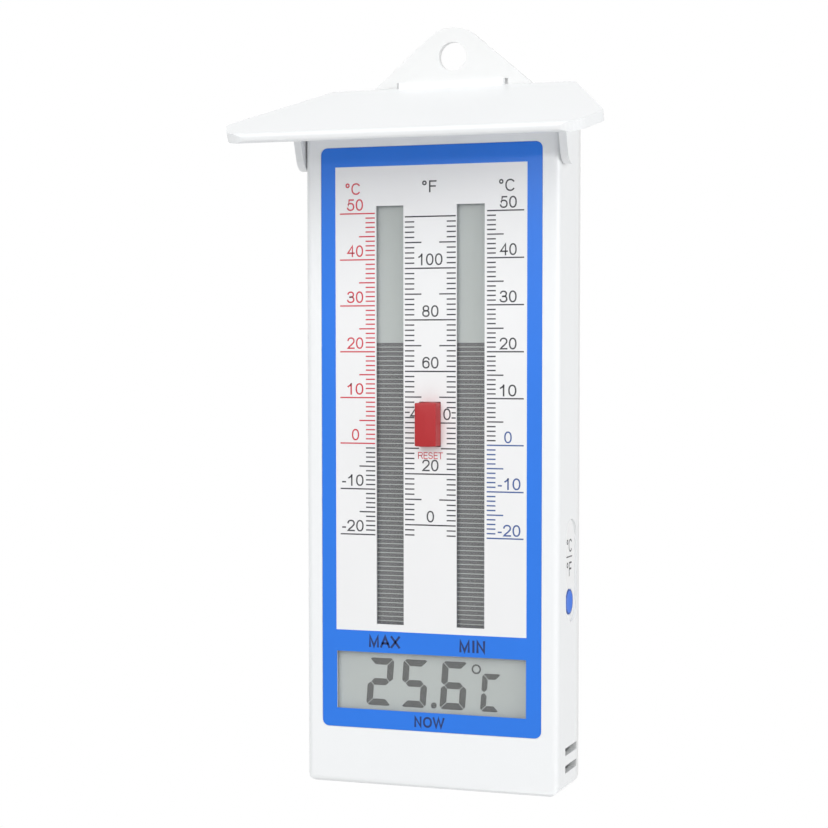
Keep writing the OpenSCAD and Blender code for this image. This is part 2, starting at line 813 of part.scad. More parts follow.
module bar_window_right() {
    bar_window();
}

module bar_window_left() {
    mirror([1, 0, 0]) bar_window();
}

module digit_window() {
    color("lightcyan") {
        along_y(y_lens, y_in) digit_panel(lens_flange);
        along_y(y_lens - lens_pad, y_in) digit_panel(lens_step - seat_gap);
    }
}

// ---- Displays and board ----

// The right-hand bar display: two glass plates, the front one with a contact ledge
module bar_display() {
    low = bar_z - cell_end;
    high = bar_z + bar_h + cell_end;
    color("darkseagreen") {
        block([bar_cell_x, y_cell, low], [bar_ledge_x + cell_ledge, y_cell_mid, high]);
        block([bar_cell_x, y_cell_mid - 0.1, low + 0.3], [bar_ledge_x, y_cell_back, high - 0.3]);
    }
}

module bar_display_right() {
    bar_display();
}

module bar_display_left() {
    mirror([1, 0, 0]) bar_display();
}

module digit_display() {
    x = digit_w / 2 + cell_edge;
    high = digit_z + digit_h + cell_edge;
    color("darkseagreen") {
        block([-x, y_cell, digit_ledge_z - cell_ledge], [x, y_cell_mid, high]);
        block([0.3 - x, y_cell_mid - 0.1, digit_ledge_z], [x - 0.3, y_cell_back, high - 0.3]);
    }
}

// The right-hand bar contact strip's outline, grown by margin
module bar_strip_panel(margin) {
    x = bar_ledge_x + cell_ledge / 2;
    panel([x - strip_w / 2 - margin, clear_z - bar_strip_l / 2 - margin],
          [x + strip_w / 2 + margin, clear_z + bar_strip_l / 2 + margin]);
}

// The digit contact strip's outline, grown by margin
module digit_strip_panel(margin) {
    z = digit_ledge_z - cell_ledge / 2;
    panel([-digit_strip_l / 2 - margin, z - strip_w / 2 - margin],
          [digit_strip_l / 2 + margin, z + strip_w / 2 + margin]);
}

module bar_contact_strips() {
    color("dimgray") along_y(y_cell_mid, y_board) both_sides() bar_strip_panel(0);
}

module digit_contact_strip() {
    color("dimgray") along_y(y_cell_mid, y_board) digit_strip_panel(0);
}

// The display frame's outline, open for the bosses, for the clear button and at its sides
module frame_outline() {
    mid = (board_low_z + board_high_z) / 2;
    inner_edge = bar_ledge_x + cell_ledge + frame_rail;
    outer_edge = frame_w / 2 - frame_rail;
    collar_x = clear_w / 2 + clear_flange + slide_gap + collar_t + seat_gap;
    collar_z = collar_x + (clear_h - clear_w) / 2;
    difference() {
        panel([-frame_w / 2, frame_low_z], [frame_w / 2, frame_high_z]);
        for (at = board_screw_at) translate(at) circle(board_boss_r + seat_gap);
        round_panel([-collar_x, clear_z - collar_z], [collar_x, clear_z + collar_z], 0.1 + seat_gap);
        both_sides() {
            panel([inner_edge, board_low_z + frame_land], [outer_edge, mid - frame_rail]);
            panel([inner_edge, mid + frame_rail], [outer_edge, board_high_z - frame_land]);
        }
    }
}

// The pockets that hold the three display cells
module cell_pockets() {
    x = digit_w / 2 + cell_edge + seat_gap;
    both_sides() panel([bar_cell_x - seat_gap, bar_z - cell_end - seat_gap],
        [bar_ledge_x + cell_ledge + seat_gap, bar_z + bar_h + cell_end + seat_gap]);
    panel([-x, digit_ledge_z - cell_ledge - seat_gap], [x, digit_z + digit_h + cell_edge + seat_gap]);
}

// The openings in the frame's floor behind the cells
module floor_openings() {
    x = digit_w / 2 + cell_edge - floor_end;
    both_sides() panel([bar_cell_x + floor_side, bar_z + floor_rim],
                       [bar_ledge_x - floor_side, bar_z + bar_h - floor_rim]);
    panel([-x, digit_z + floor_rim], [x, digit_z + digit_h - floor_rim]);
    both_sides() bar_strip_panel(seat_gap);
    digit_strip_panel(seat_gap);
}

module display_frame() {
    color("ivory") difference() {
        along_y(y_cell, y_frame) frame_outline();
        along_y(y_cell - 1, y_cell_back) cell_pockets();
        along_y(y_cell_back - 0.1, y_frame + 1) floor_openings();
    }
}

// Where the battery wires and the small leads enter the board
red_at = [9, bay_top_z + 16];
black_at = [-12, bay_z - 8];
sensor_at = [lead_x - 4, frame_low_z + 6];
unit_at = [24, unit_z + 9];

module circuit_board() {
    color("darkgreen") along_y(y_board, y_board_back) difference() {
        panel([-frame_w / 2, frame_low_z + 0.2], [frame_w / 2, frame_high_z - 0.2]);
        for (at = board_screw_at) translate(at) circle(board_screw_r + 0.15);
        translate(red_at) circle(wire_r + seat_gap);
        translate(black_at) circle(wire_r + seat_gap);
        for (i = [-1, 1])
            translate([sensor_at.x + i * lead_pitch / 2, sensor_at.y]) circle(lead_r + seat_gap);
        for (i = [-1:1]) translate([unit_at.x, unit_at.y + i * lead_pitch]) circle(lead_r + seat_gap);
    }
}

// A flat dome of resin over the bonded chip
module chip_resin() {
    color("black") intersection() {
        translate([chip_at.x, y_board_back + dome_h - dome_r, chip_at.y]) sphere(dome_r);
        block([chip_at.x - dome_r, y_board_back, chip_at.y - dome_r],
              [chip_at.x + dome_r, y_board_back + dome_h + 1, chip_at.y + dome_r]);
    }
}

// A small soldered part on the back of the board, with its end caps; size is its length, width and height
module board_part(at, size) {
    half_l = size.x / 2;
    half_w = size.y / 2;
    translate([at.x, y_board_back, at.y]) {
        block([cap_l - half_l - 0.05, 0, -half_w], [half_l - cap_l + 0.05, size.z, half_w]);
        both_sides() block([half_l - cap_l, 0, -half_w - cap_t], [half_l, size.z + cap_t, half_w + cap_t]);
    }
}

module board_parts() {
    color("tan") {
        for (side = [-1, 1], i = [0:3])
            board_part([chip_at.x + side * part_x, chip_at.y + part_pitch * (i - 1.5)], small_part);
        for (i = [-1:1]) board_part([chip_at.x + row_pitch * i, chip_at.y + row_rise], large_part);
        translate([chip_at.x, y_board_back + crystal_r, chip_at.y + crystal_rise]) rotate([0, 90, 0])
            cylinder(crystal_l, r = crystal_r, center = true);
        translate([chip_at.x, y_board_back, chip_at.y - can_drop]) rotate([-90, 0, 0]) {
            cylinder(can_foot_t, r = can_r + can_foot);
            cylinder(can_l, r = can_r);
        }
    }
}

module board_screws() {
    color("silver") for (at = board_screw_at) screw(at, y_board_back, board_screw_r, board_screw_l);
}

module case_screws() {
    color("silver") for (at = case_screw_at) screw(at, -seat_depth, case_screw_r, case_screw_l);
}

// ---- Clear button ----

// The clear button's outline, with bowed ends
module clear_outline() {
    r = clear_w * clear_w / (8 * clear_bow) + clear_bow / 2;
    intersection() {
        clear_panel(0);
        translate([0, clear_z + clear_h / 2 - r]) circle(r, $fn = 256);
        translate([0, clear_z - clear_h / 2 + r]) circle(r, $fn = 256);
    }
}

module clear_button() {
    color("crimson") difference() {
        union() {
            intersection() {
                along_y(y_clear, y_clear_back) clear_outline();
                along_x(-clear_w, clear_w)
                    translate([y_clear + crown_r, clear_z]) circle(crown_r, $fn = 256);
            }
            along_y(y_clear_back - clear_flange_t, y_clear_back) clear_panel(clear_flange);
        }
        translate([0, y_clear_back + 1, clear_z]) rotate([90, 0, 0])
            cylinder(plunger_bite + 1, r = plunger_r + pin_gap);
    }
}

module clear_switch() {
    color("dimgray") difference() {
        union() {
            block([-switch_w / 2, y_clear_switch, clear_z - switch_w / 2],
                  [switch_w / 2, y_board, clear_z + switch_w / 2]);
            for (x = [-switch_w / 2 + 0.8, switch_w / 2 - 0.8])
                block([x - 0.4, y_board - 0.3, clear_z - switch_w / 2 - 1],
                      [x + 0.4, y_board, clear_z + switch_w / 2 + 1]);
        }
        translate([0, y_board - switch_floor, clear_z]) rotate([90, 0, 0])
            cylinder(10, r = plunger_r + pin_gap);
    }
}

module clear_plunger() {
    end = y_board - switch_floor - clear_travel - seat_gap;
    color("ivory") translate([0, end, clear_z]) rotate([90, 0, 0])
        cylinder(end - y_clear_back + plunger_bite, r = plunger_r);
}

// ---- Unit button ----

module unit_button() {
    color("cornflowerblue") difference() {
        translate([unit_back_x, y_unit, unit_z]) rotate([0, 90, 0]) {
            cylinder(unit_flange_t, r = unit_r + unit_flange);
            cylinder(unit_face_x - unit_back_x - 0.4, r = unit_r);
            cylinder(unit_face_x - unit_back_x, r = unit_r - 0.4);
        }
        translate([unit_back_x - 1, y_unit, unit_z]) rotate([0, 90, 0])
            cylinder(plunger_bite + 1, r = plunger_r + pin_gap);
    }
}

module unit_switch() {
    color("dimgray") difference() {
        union() {
            block([unit_board_x, y_unit - switch_w / 2, unit_z - switch_w / 2],
                  [unit_switch_x, y_unit + switch_w / 2, unit_z + switch_w / 2]);
            for (y = [y_unit - 2.2, y_unit + 2.2])
                block([unit_board_x, y - 0.4, unit_z - switch_w / 2 - 1],
                      [unit_board_x + 0.3, y + 0.4, unit_z + switch_w / 2 + 1]);
        }
        translate([unit_board_x + switch_floor, y_unit, unit_z]) rotate([0, 90, 0])
            cylinder(10, r = plunger_r + pin_gap);
    }
}

module unit_plunger() {
    end = unit_board_x + switch_floor + unit_travel + seat_gap;
    color("ivory") translate([end, y_unit, unit_z]) rotate([0, 90, 0])
        cylinder(unit_back_x + plunger_bite - end, r = plunger_r);
}

module unit_switch_board() {
    x = unit_board_x - unit_board_t;
    color("darkgreen") difference() {
        block([x, y_unit - unit_board_w / 2, unit_z - unit_board_h / 2],
              [unit_board_x, y_unit + unit_board_w / 2, unit_z + unit_board_h / 2]);
        for (i = [-1:1]) translate([x - 1, y_unit + i * lead_pitch, unit_z + unit_lead_rise])
            rotate([0, 90, 0]) cylinder(unit_board_t + 2, r = lead_r + seat_gap);
    }
}

// Three thin leads from the unit switch's board to the main board
module unit_leads() {
    x = unit_board_x - unit_board_t;
    color("gainsboro") for (i = [-1:1]) {
        from = [x + 0.8, y_unit + i * lead_pitch, unit_z + unit_lead_rise];
        to = [unit_at.x, y_board_back - 0.8, unit_at.y + i * lead_pitch];
        tube(bend(from, from - [7, 0, 0], to + [0, 7, 0], to), lead_r, [0, 0, 1]);
    }
}

// ---- Sensor ----

module sensor_bead() {
    color("black") translate([bead_x, y_lead, slot_mid_z]) {
        cylinder(bead_l, r = bead_r);
        sphere(bead_r);
    }
}

module sensor_leads() {
    color("gainsboro") for (i = [-1, 1]) {
        from = [bead_x + i * lead_pitch / 2, y_lead, slot_mid_z + bead_l + 0.02];
        mid = [lead_x + i * lead_pitch / 2, y_lead, baffle_z + baffle_t / 2];
        to = [sensor_at.x + i * lead_pitch / 2, y_board_back - 0.8, sensor_at.y];
        path = concat(bend(from, from + [0, 0, 2], mid - [0, 0, 2], mid, 8),
                      [for (i = [1:12]) bend(mid, mid + [0, 0, 6], to + [0, 5, 0], to, 12)[i]]);
        tube(path, lead_r, [1, 0, 0]);
    }
}

// ---- Battery ----

module battery_cell() {
    color("goldenrod") translate([0, y_cell_axis, battery_z]) rotate_extrude() polygon([
        [0, 0.3], [battery_r - 1.4, 0.3], [battery_r - 1.1, 0], [battery_r - 0.3, 0], [battery_r, 0.3],
        [battery_r, battery_l - 2], [battery_r - 0.25, battery_l - 1.6], [battery_r - 0.25, battery_l - 0.9],
        [battery_r - 0.4, battery_l - 0.4], [battery_r - 1, battery_l], [tip_r, battery_l],
        [tip_r, battery_l + tip_l - 0.2], [tip_r - 0.2, battery_l + tip_l], [0, battery_l + tip_l]]);
}

// A contact plate against the bay's end, with a tail that passes out of the bay
module contact_plate(z, out) {
    block([-contact_x, y_tail, z], [contact_x, y_cell_axis + contact_x, z + sheet_t]);
    block([-tail_w / 2, y_tail, min(z, z + out)], [tail_w / 2, y_tail + sheet_t, max(z + sheet_t, z + out)]);
}

module plate_contact() {
    color("silver") contact_plate(bay_top_z - 0.05 - sheet_t, bay_wall + tail_l);
}

module spring_contact() {
    turns = 3.5;
    start = bay_z + 0.05 + sheet_t + spring_wire_r - 0.1;
    rise = battery_z - spring_wire_r - start;
    steps = 14 * turns;
    coil = [for (i = [0:steps]) let (t = i / steps, r = spring_low_r + (spring_high_r - spring_low_r) * t)
        [r * cos(360 * turns * t), y_cell_axis + r * sin(360 * turns * t), start + rise * t]];
    color("silver") {
        contact_plate(bay_z + 0.05, -bay_wall - tail_l);
        tube(coil, spring_wire_r, [0, 0, 1], 6);
    }
}

// A wire from a contact's tail at z to a hole in the board; it leaves the tail towards out
module battery_wire(z, out, at) {
    from = [0, y_tail - wire_r - 0.03, z];
    to = [at.x, y_board_back - 0.9, at.y];
    path = bend(from, from + [0, 0, out], to + [0, 5, 0], to, 18);
    tube(path, wire_r, [1, 0, 0]);
}

module red_wire() {
    color("red") battery_wire(bay_top_z + bay_wall + 0.8, 9, red_at);
}

module black_wire() {
    color("dimgray") battery_wire(bay_z - bay_wall - 0.8, -6, black_at);
}

module battery_door() {
    color("white") difference() {
        union() {
            block([-door_x, y_door, door_low_z], [door_x, y_door + door_t, pivot_z]);
            translate([-door_x, y_pivot, pivot_z]) rotate([0, 90, 0]) cylinder(2 * door_x, r = door_t / 2);
            translate([-door_x - pivot_l, y_pivot, pivot_z]) rotate([0, 90, 0])
                cylinder(2 * (door_x + pivot_l), r = pivot_r);
        }
        for (i = [0:3])
            block([groove_in - door_x, y_door + door_t - groove_d, groove_z + groove_pitch * i],
                  [door_x - groove_in, 1, groove_z + groove_pitch * i + groove_w]);
    }
}

front_case();
back_cover();
rain_hood();
fascia_label();
side_label();
bar_window_left();
bar_window_right();
digit_window();
bar_display_left();
bar_display_right();
digit_display();
display_frame();
bar_contact_strips();
digit_contact_strip();
circuit_board();
chip_resin();
board_parts();
board_screws();
clear_button();
clear_switch();
clear_plunger();
unit_button();
unit_switch();
unit_plunger();
unit_switch_board();
unit_leads();
sensor_bead();
sensor_leads();
battery_cell();
plate_contact();
spring_contact();
red_wire();
black_wire();
battery_door();
case_screws();
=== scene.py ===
"""Maximum minimum thermometer with a rain hood: its finishes, print, displays and small fittings."""

import logging
import math
from dataclasses import dataclass, field
from enum import Enum
from typing import Callable, ClassVar, Iterable, Optional, Sequence

import bmesh
import bpy
from mathutils import Matrix, Vector

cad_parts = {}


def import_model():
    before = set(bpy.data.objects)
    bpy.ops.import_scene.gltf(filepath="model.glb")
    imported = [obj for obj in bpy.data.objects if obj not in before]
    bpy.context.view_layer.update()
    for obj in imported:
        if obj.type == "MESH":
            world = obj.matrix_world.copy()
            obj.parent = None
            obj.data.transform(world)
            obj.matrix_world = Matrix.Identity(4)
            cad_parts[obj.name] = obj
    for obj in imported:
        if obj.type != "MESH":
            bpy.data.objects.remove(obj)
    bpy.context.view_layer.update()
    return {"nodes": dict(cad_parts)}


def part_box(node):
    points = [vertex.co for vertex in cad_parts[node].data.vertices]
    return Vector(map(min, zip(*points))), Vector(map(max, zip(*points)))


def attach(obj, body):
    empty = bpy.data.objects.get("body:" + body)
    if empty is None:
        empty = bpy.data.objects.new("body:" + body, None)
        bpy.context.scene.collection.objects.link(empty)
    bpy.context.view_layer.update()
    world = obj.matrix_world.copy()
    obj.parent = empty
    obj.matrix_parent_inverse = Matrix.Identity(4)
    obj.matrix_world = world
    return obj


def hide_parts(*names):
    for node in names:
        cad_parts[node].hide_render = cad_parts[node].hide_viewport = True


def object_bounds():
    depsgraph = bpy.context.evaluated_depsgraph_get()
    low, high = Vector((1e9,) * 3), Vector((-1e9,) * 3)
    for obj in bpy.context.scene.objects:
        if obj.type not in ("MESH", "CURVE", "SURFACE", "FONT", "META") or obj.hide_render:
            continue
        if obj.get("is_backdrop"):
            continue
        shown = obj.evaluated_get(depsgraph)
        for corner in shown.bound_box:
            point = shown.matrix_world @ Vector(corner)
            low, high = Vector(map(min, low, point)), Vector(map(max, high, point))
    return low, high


LOG = logging.getLogger("thermometer")
MM = 0.001
CASING = "casing"
CLEAR = "clear_button"
UNIT = "unit_button"
DOOR = "battery_door"
PLASTIC_IOR = 1.46
GLOW_REACH = (0.0012, 0.0006, 0.0005)
CLOUD_SCALE = 38.0
CLOUD_DETAIL = 3.0
CLOUD_LOW, CLOUD_HIGH = 0.3, 0.7
LIGHTER_SHARE = 0.4
GLOSSIER, DULLER = 0.04, 0.05
FINE_DETAIL = 4.0
FINE_STRENGTH = 0.35
PEN, BOLD_PEN = 0.125, 0.19
SHARPEST_MITRE = 0.42
FAHRENHEIT_ZERO, FAHRENHEIT_STEP = 32, 1.8

Colour = tuple[float, float, float]
Point = tuple[float, float]


def srgb(red: int, green: int, blue: int) -> Colour:
    """Turns a colour in 0 to 255 steps into linear light.

    Args:
        red: the red step.
        green: the green step.
        blue: the blue step.

    Returns:
        The colour as three linear values.
    """

    def linear(step: int) -> float:
        """Turns one step into linear light."""
        value = step / 255
        return value / 12.92 if value <= 0.04045 else ((value + 0.055) / 1.055) ** 2.4

    return linear(red), linear(green), linear(blue)


# ---------------------------------------------------------------- finishes


class Texture(Enum):
    """The fine surface that a finish has."""

    MOULDED = "moulded"
    FILM = "film"
    BRUSHED = "brushed"
    CAST = "cast"
    CRYSTAL = "crystal"


@dataclass(frozen=True)
class Finish:
    """One surface finish, built as a procedural material.

    Attributes:
        name: the material's name.
        colour: its linear base colour.
        roughness: how matt it is.
        texture: its fine surface.
        vary: how far its brightness varies over a few centimetres.
        bump: depth of its fine surface, in metres.
        metallic: 1 for bare metal.
        coat: strength of a clear gloss over it.
        alpha: below 1 for a clear plate.
        glow: how far light spreads inside it.
        soft_edge: radius that its sharp edges shade as, in metres.
    """

    name: str
    colour: Colour
    roughness: float
    texture: Texture = Texture.MOULDED
    vary: float = 0.02
    bump: float = 0.00001
    metallic: float = 0.0
    coat: float = 0.0
    alpha: float = 1.0
    glow: float = 0.0
    soft_edge: float = 0.0

    def build(self) -> bpy.types.Material:
        """Builds the material once and returns it."""
        made = bpy.data.materials.get(self.name)
        if made:
            return made
        made = bpy.data.materials.new(self.name)
        made.use_nodes = True
        nodes, links = made.node_tree.nodes, made.node_tree.links
        shader = nodes["Principled BSDF"]
        shader.inputs["Metallic"].default_value = self.metallic
        shader.inputs["Coat Weight"].default_value = self.coat
        shader.inputs["Alpha"].default_value = self.alpha
        shader.inputs["IOR"].default_value = PLASTIC_IOR
        if self.glow:
            shader.inputs["Subsurface Weight"].default_value = self.glow
            shader.inputs["Subsurface Radius"].default_value = GLOW_REACH
            shader.inputs["Subsurface Scale"].default_value = 1.0
        place = nodes.new("ShaderNodeTexCoord")
        self._colour_nodes(nodes, links, place, shader)
        self._surface_nodes(nodes, links, place, shader)
        return made

    def _colour_nodes(self, nodes: bpy.types.Nodes, links: bpy.types.NodeLinks, place: bpy.types.Node,
                      shader: bpy.types.Node) -> None:
        """Adds a slow change of brightness and of gloss over the surface.

        Args:
            nodes: the material's nodes.
            links: the material's links.
            place: its Texture Coordinate node.
            shader: its Principled node.
        """
        cloud = nodes.new("ShaderNodeTexNoise")
        cloud.inputs["Scale"].default_value = CLOUD_SCALE
        cloud.inputs["Detail"].default_value = CLOUD_DETAIL
        links.new(place.outputs["Object"], cloud.inputs["Vector"])
        ramp = nodes.new("ShaderNodeValToRGB")
        darker, lighter = ramp.color_ramp.elements
        darker.position = CLOUD_LOW
        darker.color = (*(min(1, c * (1 - self.vary)) for c in self.colour), 1)
        lighter.position = CLOUD_HIGH
        lighter.color = (*(min(1, c * (1 + self.vary * LIGHTER_SHARE)) for c in self.colour), 1)
        links.new(cloud.outputs["Fac"], ramp.inputs["Fac"])
        links.new(ramp.outputs["Color"], shader.inputs["Base Color"])
        gloss = nodes.new("ShaderNodeMapRange")
        gloss.inputs["To Min"].default_value = max(0.02, self.roughness - GLOSSIER)
        gloss.inputs["To Max"].default_value = min(1.0, self.roughness + DULLER)
        links.new(cloud.outputs["Fac"], gloss.inputs["Value"])
        links.new(gloss.outputs["Result"], shader.inputs["Roughness"])

    def _surface_nodes(self, nodes: bpy.types.Nodes, links: bpy.types.NodeLinks, place: bpy.types.Node,
                       shader: bpy.types.Node) -> None:
        """Adds the fine surface as bump, and the soft edges.

        Args:
            nodes: the material's nodes.
            links: the material's links.
            place: its Texture Coordinate node.
            shader: its Principled node.
        """
        fine = nodes.new("ShaderNodeTexNoise")
        stretch = nodes.new("ShaderNodeMapping")
        scale, stretched = {
            Texture.MOULDED: (2600.0, (1, 1, 1)),
            Texture.FILM: (900.0, (1, 1, 1)),
            Texture.BRUSHED: (1400.0, (1, 1, 14)),
            Texture.CAST: (700.0, (1, 1, 1)),
            Texture.CRYSTAL: (300.0, (1, 1, 1)),
        }[self.texture]
        stretch.inputs["Scale"].default_value = stretched
        fine.inputs["Scale"].default_value = scale
        fine.inputs["Detail"].default_value = FINE_DETAIL
        links.new(place.outputs["Object"], stretch.inputs["Vector"])
        links.new(stretch.outputs["Vector"], fine.inputs["Vector"])
        bump = nodes.new("ShaderNodeBump")
        bump.inputs["Strength"].default_value = FINE_STRENGTH
        bump.inputs["Distance"].default_value = self.bump
        links.new(fine.outputs["Fac"], bump.inputs["Height"])
        if self.soft_edge:
            soft = nodes.new("ShaderNodeBevel")
            soft.samples = 4
            soft.inputs["Radius"].default_value = self.soft_edge
            links.new(soft.outputs["Normal"], bump.inputs["Normal"])
        links.new(bump.outputs["Normal"], shader.inputs["Normal"])


WHITE = Finish("white_plastic", (0.86, 0.875, 0.88), 0.38, vary=0.015, bump=0.000012)
# Painted light and shade: a second copy of the white plastic, not a different plastic. Its tone is set for
# how much light falls on the back cover's hang tab.
WHITE_TONED_FOR_TAB_LIGHT = Finish("white_plastic_toned_for_tab_light", (0.875, 0.88, 0.876), 0.42, vary=0.015, bump=0.000012)
LABEL_BLUE = Finish("label_blue", srgb(34, 121, 232), 0.32, Texture.FILM, bump=0.000006)
LABEL_WHITE = Finish("label_white", (0.9, 0.9, 0.905), 0.36, Texture.FILM, vary=0.01, bump=0.000006)
SIDE_WHITE = Finish("side_label_white", (0.96, 0.96, 0.96), 0.4, Texture.FILM, vary=0.01, bump=0.000006)
INK_BLACK = Finish("ink_black", srgb(62, 62, 66), 0.45, Texture.FILM)
INK_RED = Finish("ink_red", srgb(205, 52, 70), 0.45, Texture.FILM)
INK_BLUE = Finish("ink_blue", srgb(56, 88, 150), 0.45, Texture.FILM)
INK_NAVY = Finish("ink_navy", srgb(24, 48, 104), 0.45, Texture.FILM)
CLEAR_PLATE = Finish("clear_plate", (0.95, 0.97, 0.97), 0.06, Texture.FILM, bump=0.0, alpha=0.07)
CRYSTAL = Finish("display_crystal", srgb(180, 186, 183), 0.3, Texture.CRYSTAL, vary=0.03, bump=0.0)
SEGMENT = Finish("display_segment", srgb(40, 42, 40), 0.35, Texture.CRYSTAL, vary=0.03, bump=0.0)
BAR_SEGMENT = Finish("bar_segment", srgb(66, 65, 67), 0.35, Texture.CRYSTAL, vary=0.03, bump=0.0)
RED = Finish("clear_button_red", srgb(178, 24, 32), 0.4, coat=0.12, glow=0.08, bump=0.000004)
BLUE = Finish("unit_button_blue", srgb(48, 118, 232), 0.5, bump=0.000006)
# Painted shade: the dark blue of the shaded gap round the unit button, laid over its edge and side.
BLUE_GAP_SHADE = Finish("unit_button_painted_gap_shade", srgb(20, 50, 130), 0.5, bump=0.000006)
IVORY = Finish("ivory_plastic", srgb(226, 222, 208), 0.5)
RUBBER = Finish("contact_rubber", srgb(150, 120, 130), 0.7, Texture.CAST)
BOARD = Finish("board_green", srgb(22, 92, 52), 0.35, Texture.FILM, vary=0.08)
TRACK = Finish("board_track", srgb(40, 122, 70), 0.35, Texture.FILM)
BLACK = Finish("black_resin", srgb(30, 30, 33), 0.5, Texture.CAST)
CERAMIC = Finish("board_ceramic", srgb(180, 158, 122), 0.55, Texture.CAST)
STEEL = Finish("zinc_steel", (0.62, 0.62, 0.64), 0.3, Texture.BRUSHED, metallic=1.0)
TINNED = Finish("tinned_wire", (0.7, 0.7, 0.72), 0.25, Texture.BRUSHED, metallic=1.0)
NICKEL = Finish("nickel_spring", (0.7, 0.68, 0.64), 0.25, Texture.BRUSHED, metallic=1.0)
SLEEVE = Finish("cell_sleeve", srgb(196, 160, 62), 0.3, Texture.FILM, vary=0.05, coat=0.3)
SLEEVE_DARK = Finish("cell_sleeve_dark", srgb(40, 40, 44), 0.35, Texture.FILM, coat=0.3)
RED_WIRE = Finish("red_insulation", srgb(190, 32, 30), 0.4)
BLACK_WIRE = Finish("black_insulation", srgb(28, 28, 30), 0.4)


# ---------------------------------------------------------------- mesh makers


def piece(name: str, mesh: bpy.types.Mesh, finish: Finish, body: str) -> bpy.types.Object:
    """Adds a mesh to the scene as a piece of the thermometer.

    Args:
        name: the piece's name.
        mesh: its mesh, in the frame's own metres.
        finish: its finish.
        body: the body that it rides on.

    Returns:
        The new object.
    """
    made = bpy.data.objects.new(name, mesh)
    bpy.context.scene.collection.objects.link(made)
    mesh.materials.clear()
    mesh.materials.append(finish.build())
    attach(made, body)
    LOG.info("%s: %d faces on %s", name, len(mesh.polygons), body)
    return made


def finished_mesh(name: str, build: bmesh.types.BMesh, smooth_angle: float = 35.0) -> bpy.types.Mesh:
    """Turns a bmesh into a closed mesh with smooth faces and sharp corners.

    Args:
        name: the mesh's name.
        build: the bmesh, which is freed.
        smooth_angle: edges sharper than this, in degrees, stay sharp.

    Returns:
        The mesh.
    """
    bmesh.ops.remove_doubles(build, verts=build.verts, dist=1e-7)
    bmesh.ops.recalc_face_normals(build, faces=build.faces)
    for face in build.faces:
        face.smooth = True
    for edge in build.edges:
        if edge.is_manifold and edge.calc_face_angle(0) > math.radians(smooth_angle):
            edge.smooth = False
    mesh = bpy.data.meshes.new(name)
    build.to_mesh(mesh)
    build.free()
    return mesh


def add_prism(build: bmesh.types.BMesh, outline: Sequence[Point], front: float, back: float,
              place: Optional[Matrix] = None) -> None:
    """Adds a flat closed plate whose outline is given in X and Z.

    Args:
        build: the bmesh that takes it.
        outline: corners in order, as (x, z).
        front: Y of its front face.
        back: Y of its back face.
        place: moves the plate from the front's plane to another place.
    """
    place = place or Matrix.Identity(4)
    near = [build.verts.new(place @ Vector((x, front, z))) for x, z in outline]
    far = [build.verts.new(place @ Vector((x, back, z))) for x, z in outline]
    build.faces.new(near)
    build.faces.new(far[::-1])
    for i in range(len(outline)):
        j = (i + 1) % len(outline)
        build.faces.new((near[i], far[i], far[j], near[j]))


def add_rings(build: bmesh.types.BMesh, rings: Sequence[Sequence[Vector]], looped: bool = False) -> None:
    """Adds a closed skin through rings that have the same number of points.

    Args:
        build: the bmesh that takes it.
        rings: the rings in order.
        looped: joins the last ring to the first; without it both are closed with a face.
    """
    rows = [[build.verts.new(p) for p in ring] for ring in rings]
    for one, two in zip(rows, rows[1:] + rows[:1] if looped else rows[1:]):
        for i in range(len(one)):
            j = (i + 1) % len(one)
            build.faces.new((one[i], one[j], two[j], two[i]))
    if not looped:
        build.faces.new(rows[0][::-1])
        build.faces.new(rows[-1])


def rectangle(x0: float, x1: float, z0: float, z1: float) -> list[Point]:
    """Returns a rectangle's corners."""
    return [(x0, z0), (x1, z0), (x1, z1), (x0, z1)]


def circle(x: float, z: float, radius: float, count: int = 32) -> list[Point]:
    """Returns the points of a circle."""
    turn = 2 * math.pi / count
    return [(x + radius * math.cos(turn * i), z + radius * math.sin(turn * i)) for i in range(count)]


def add_ring_plate(build: bmesh.types.BMesh, outer: Sequence[Point], inner: Sequence[Point],
                   front: float, back: float) -> None:
    """Adds a flat plate with a hole; both outlines have the same number of points.

    Args:
        build: the bmesh that takes it.
        outer: the plate's outline.
        inner: the hole's outline.
        front: Y of its front face.
        back: Y of its back face.
    """
    sides = ((outer, front), (inner, front), (inner, back), (outer, back))
    add_rings(build, [[Vector((x, y, z)) for x, z in line] for line, y in sides], looped=True)


def add_grid_plate(build: bmesh.types.BMesh, xs: Sequence[float], zs: Sequence[float],
                   is_open: Callable[[float, float], bool], front: float, back: float) -> None:
    """Adds a flat closed plate made of the cells between grid lines, less the open ones.

    Args:
        build: the bmesh that takes it.
        xs: the grid lines across.
        zs: the grid lines up.
        is_open: says whether the cell round a point is open.
        front: Y of its front face.
        back: Y of its back face.
    """
    columns, rows = len(xs) - 1, len(zs) - 1

    def solid(i: int, k: int) -> bool:
        """Says whether a cell is on the grid and not open."""
        if not (0 <= i < columns and 0 <= k < rows):
            return False
        return not is_open((xs[i] + xs[i + 1]) / 2, (zs[k] + zs[k + 1]) / 2)

    def wall(a: Point, b: Point) -> None:
        """Adds a wall under one cell edge."""
        build.faces.new([build.verts.new(p) for p in (
            (a[0], front, a[1]), (b[0], front, b[1]), (b[0], back, b[1]), (a[0], back, a[1]))])

    for i in range(columns):
        for k in range(rows):
            if not solid(i, k):
                continue
            corners = rectangle(xs[i], xs[i + 1], zs[k], zs[k + 1])
            build.faces.new([build.verts.new((x, front, z)) for x, z in corners])
            build.faces.new([build.verts.new((x, back, z)) for x, z in corners[::-1]])
            for (di, dk), side in zip(((0, -1), (1, 0), (0, 1), (-1, 0)), range(4)):
                if not solid(i + di, k + dk):
                    wall(corners[side], corners[(side + 1) % 4])


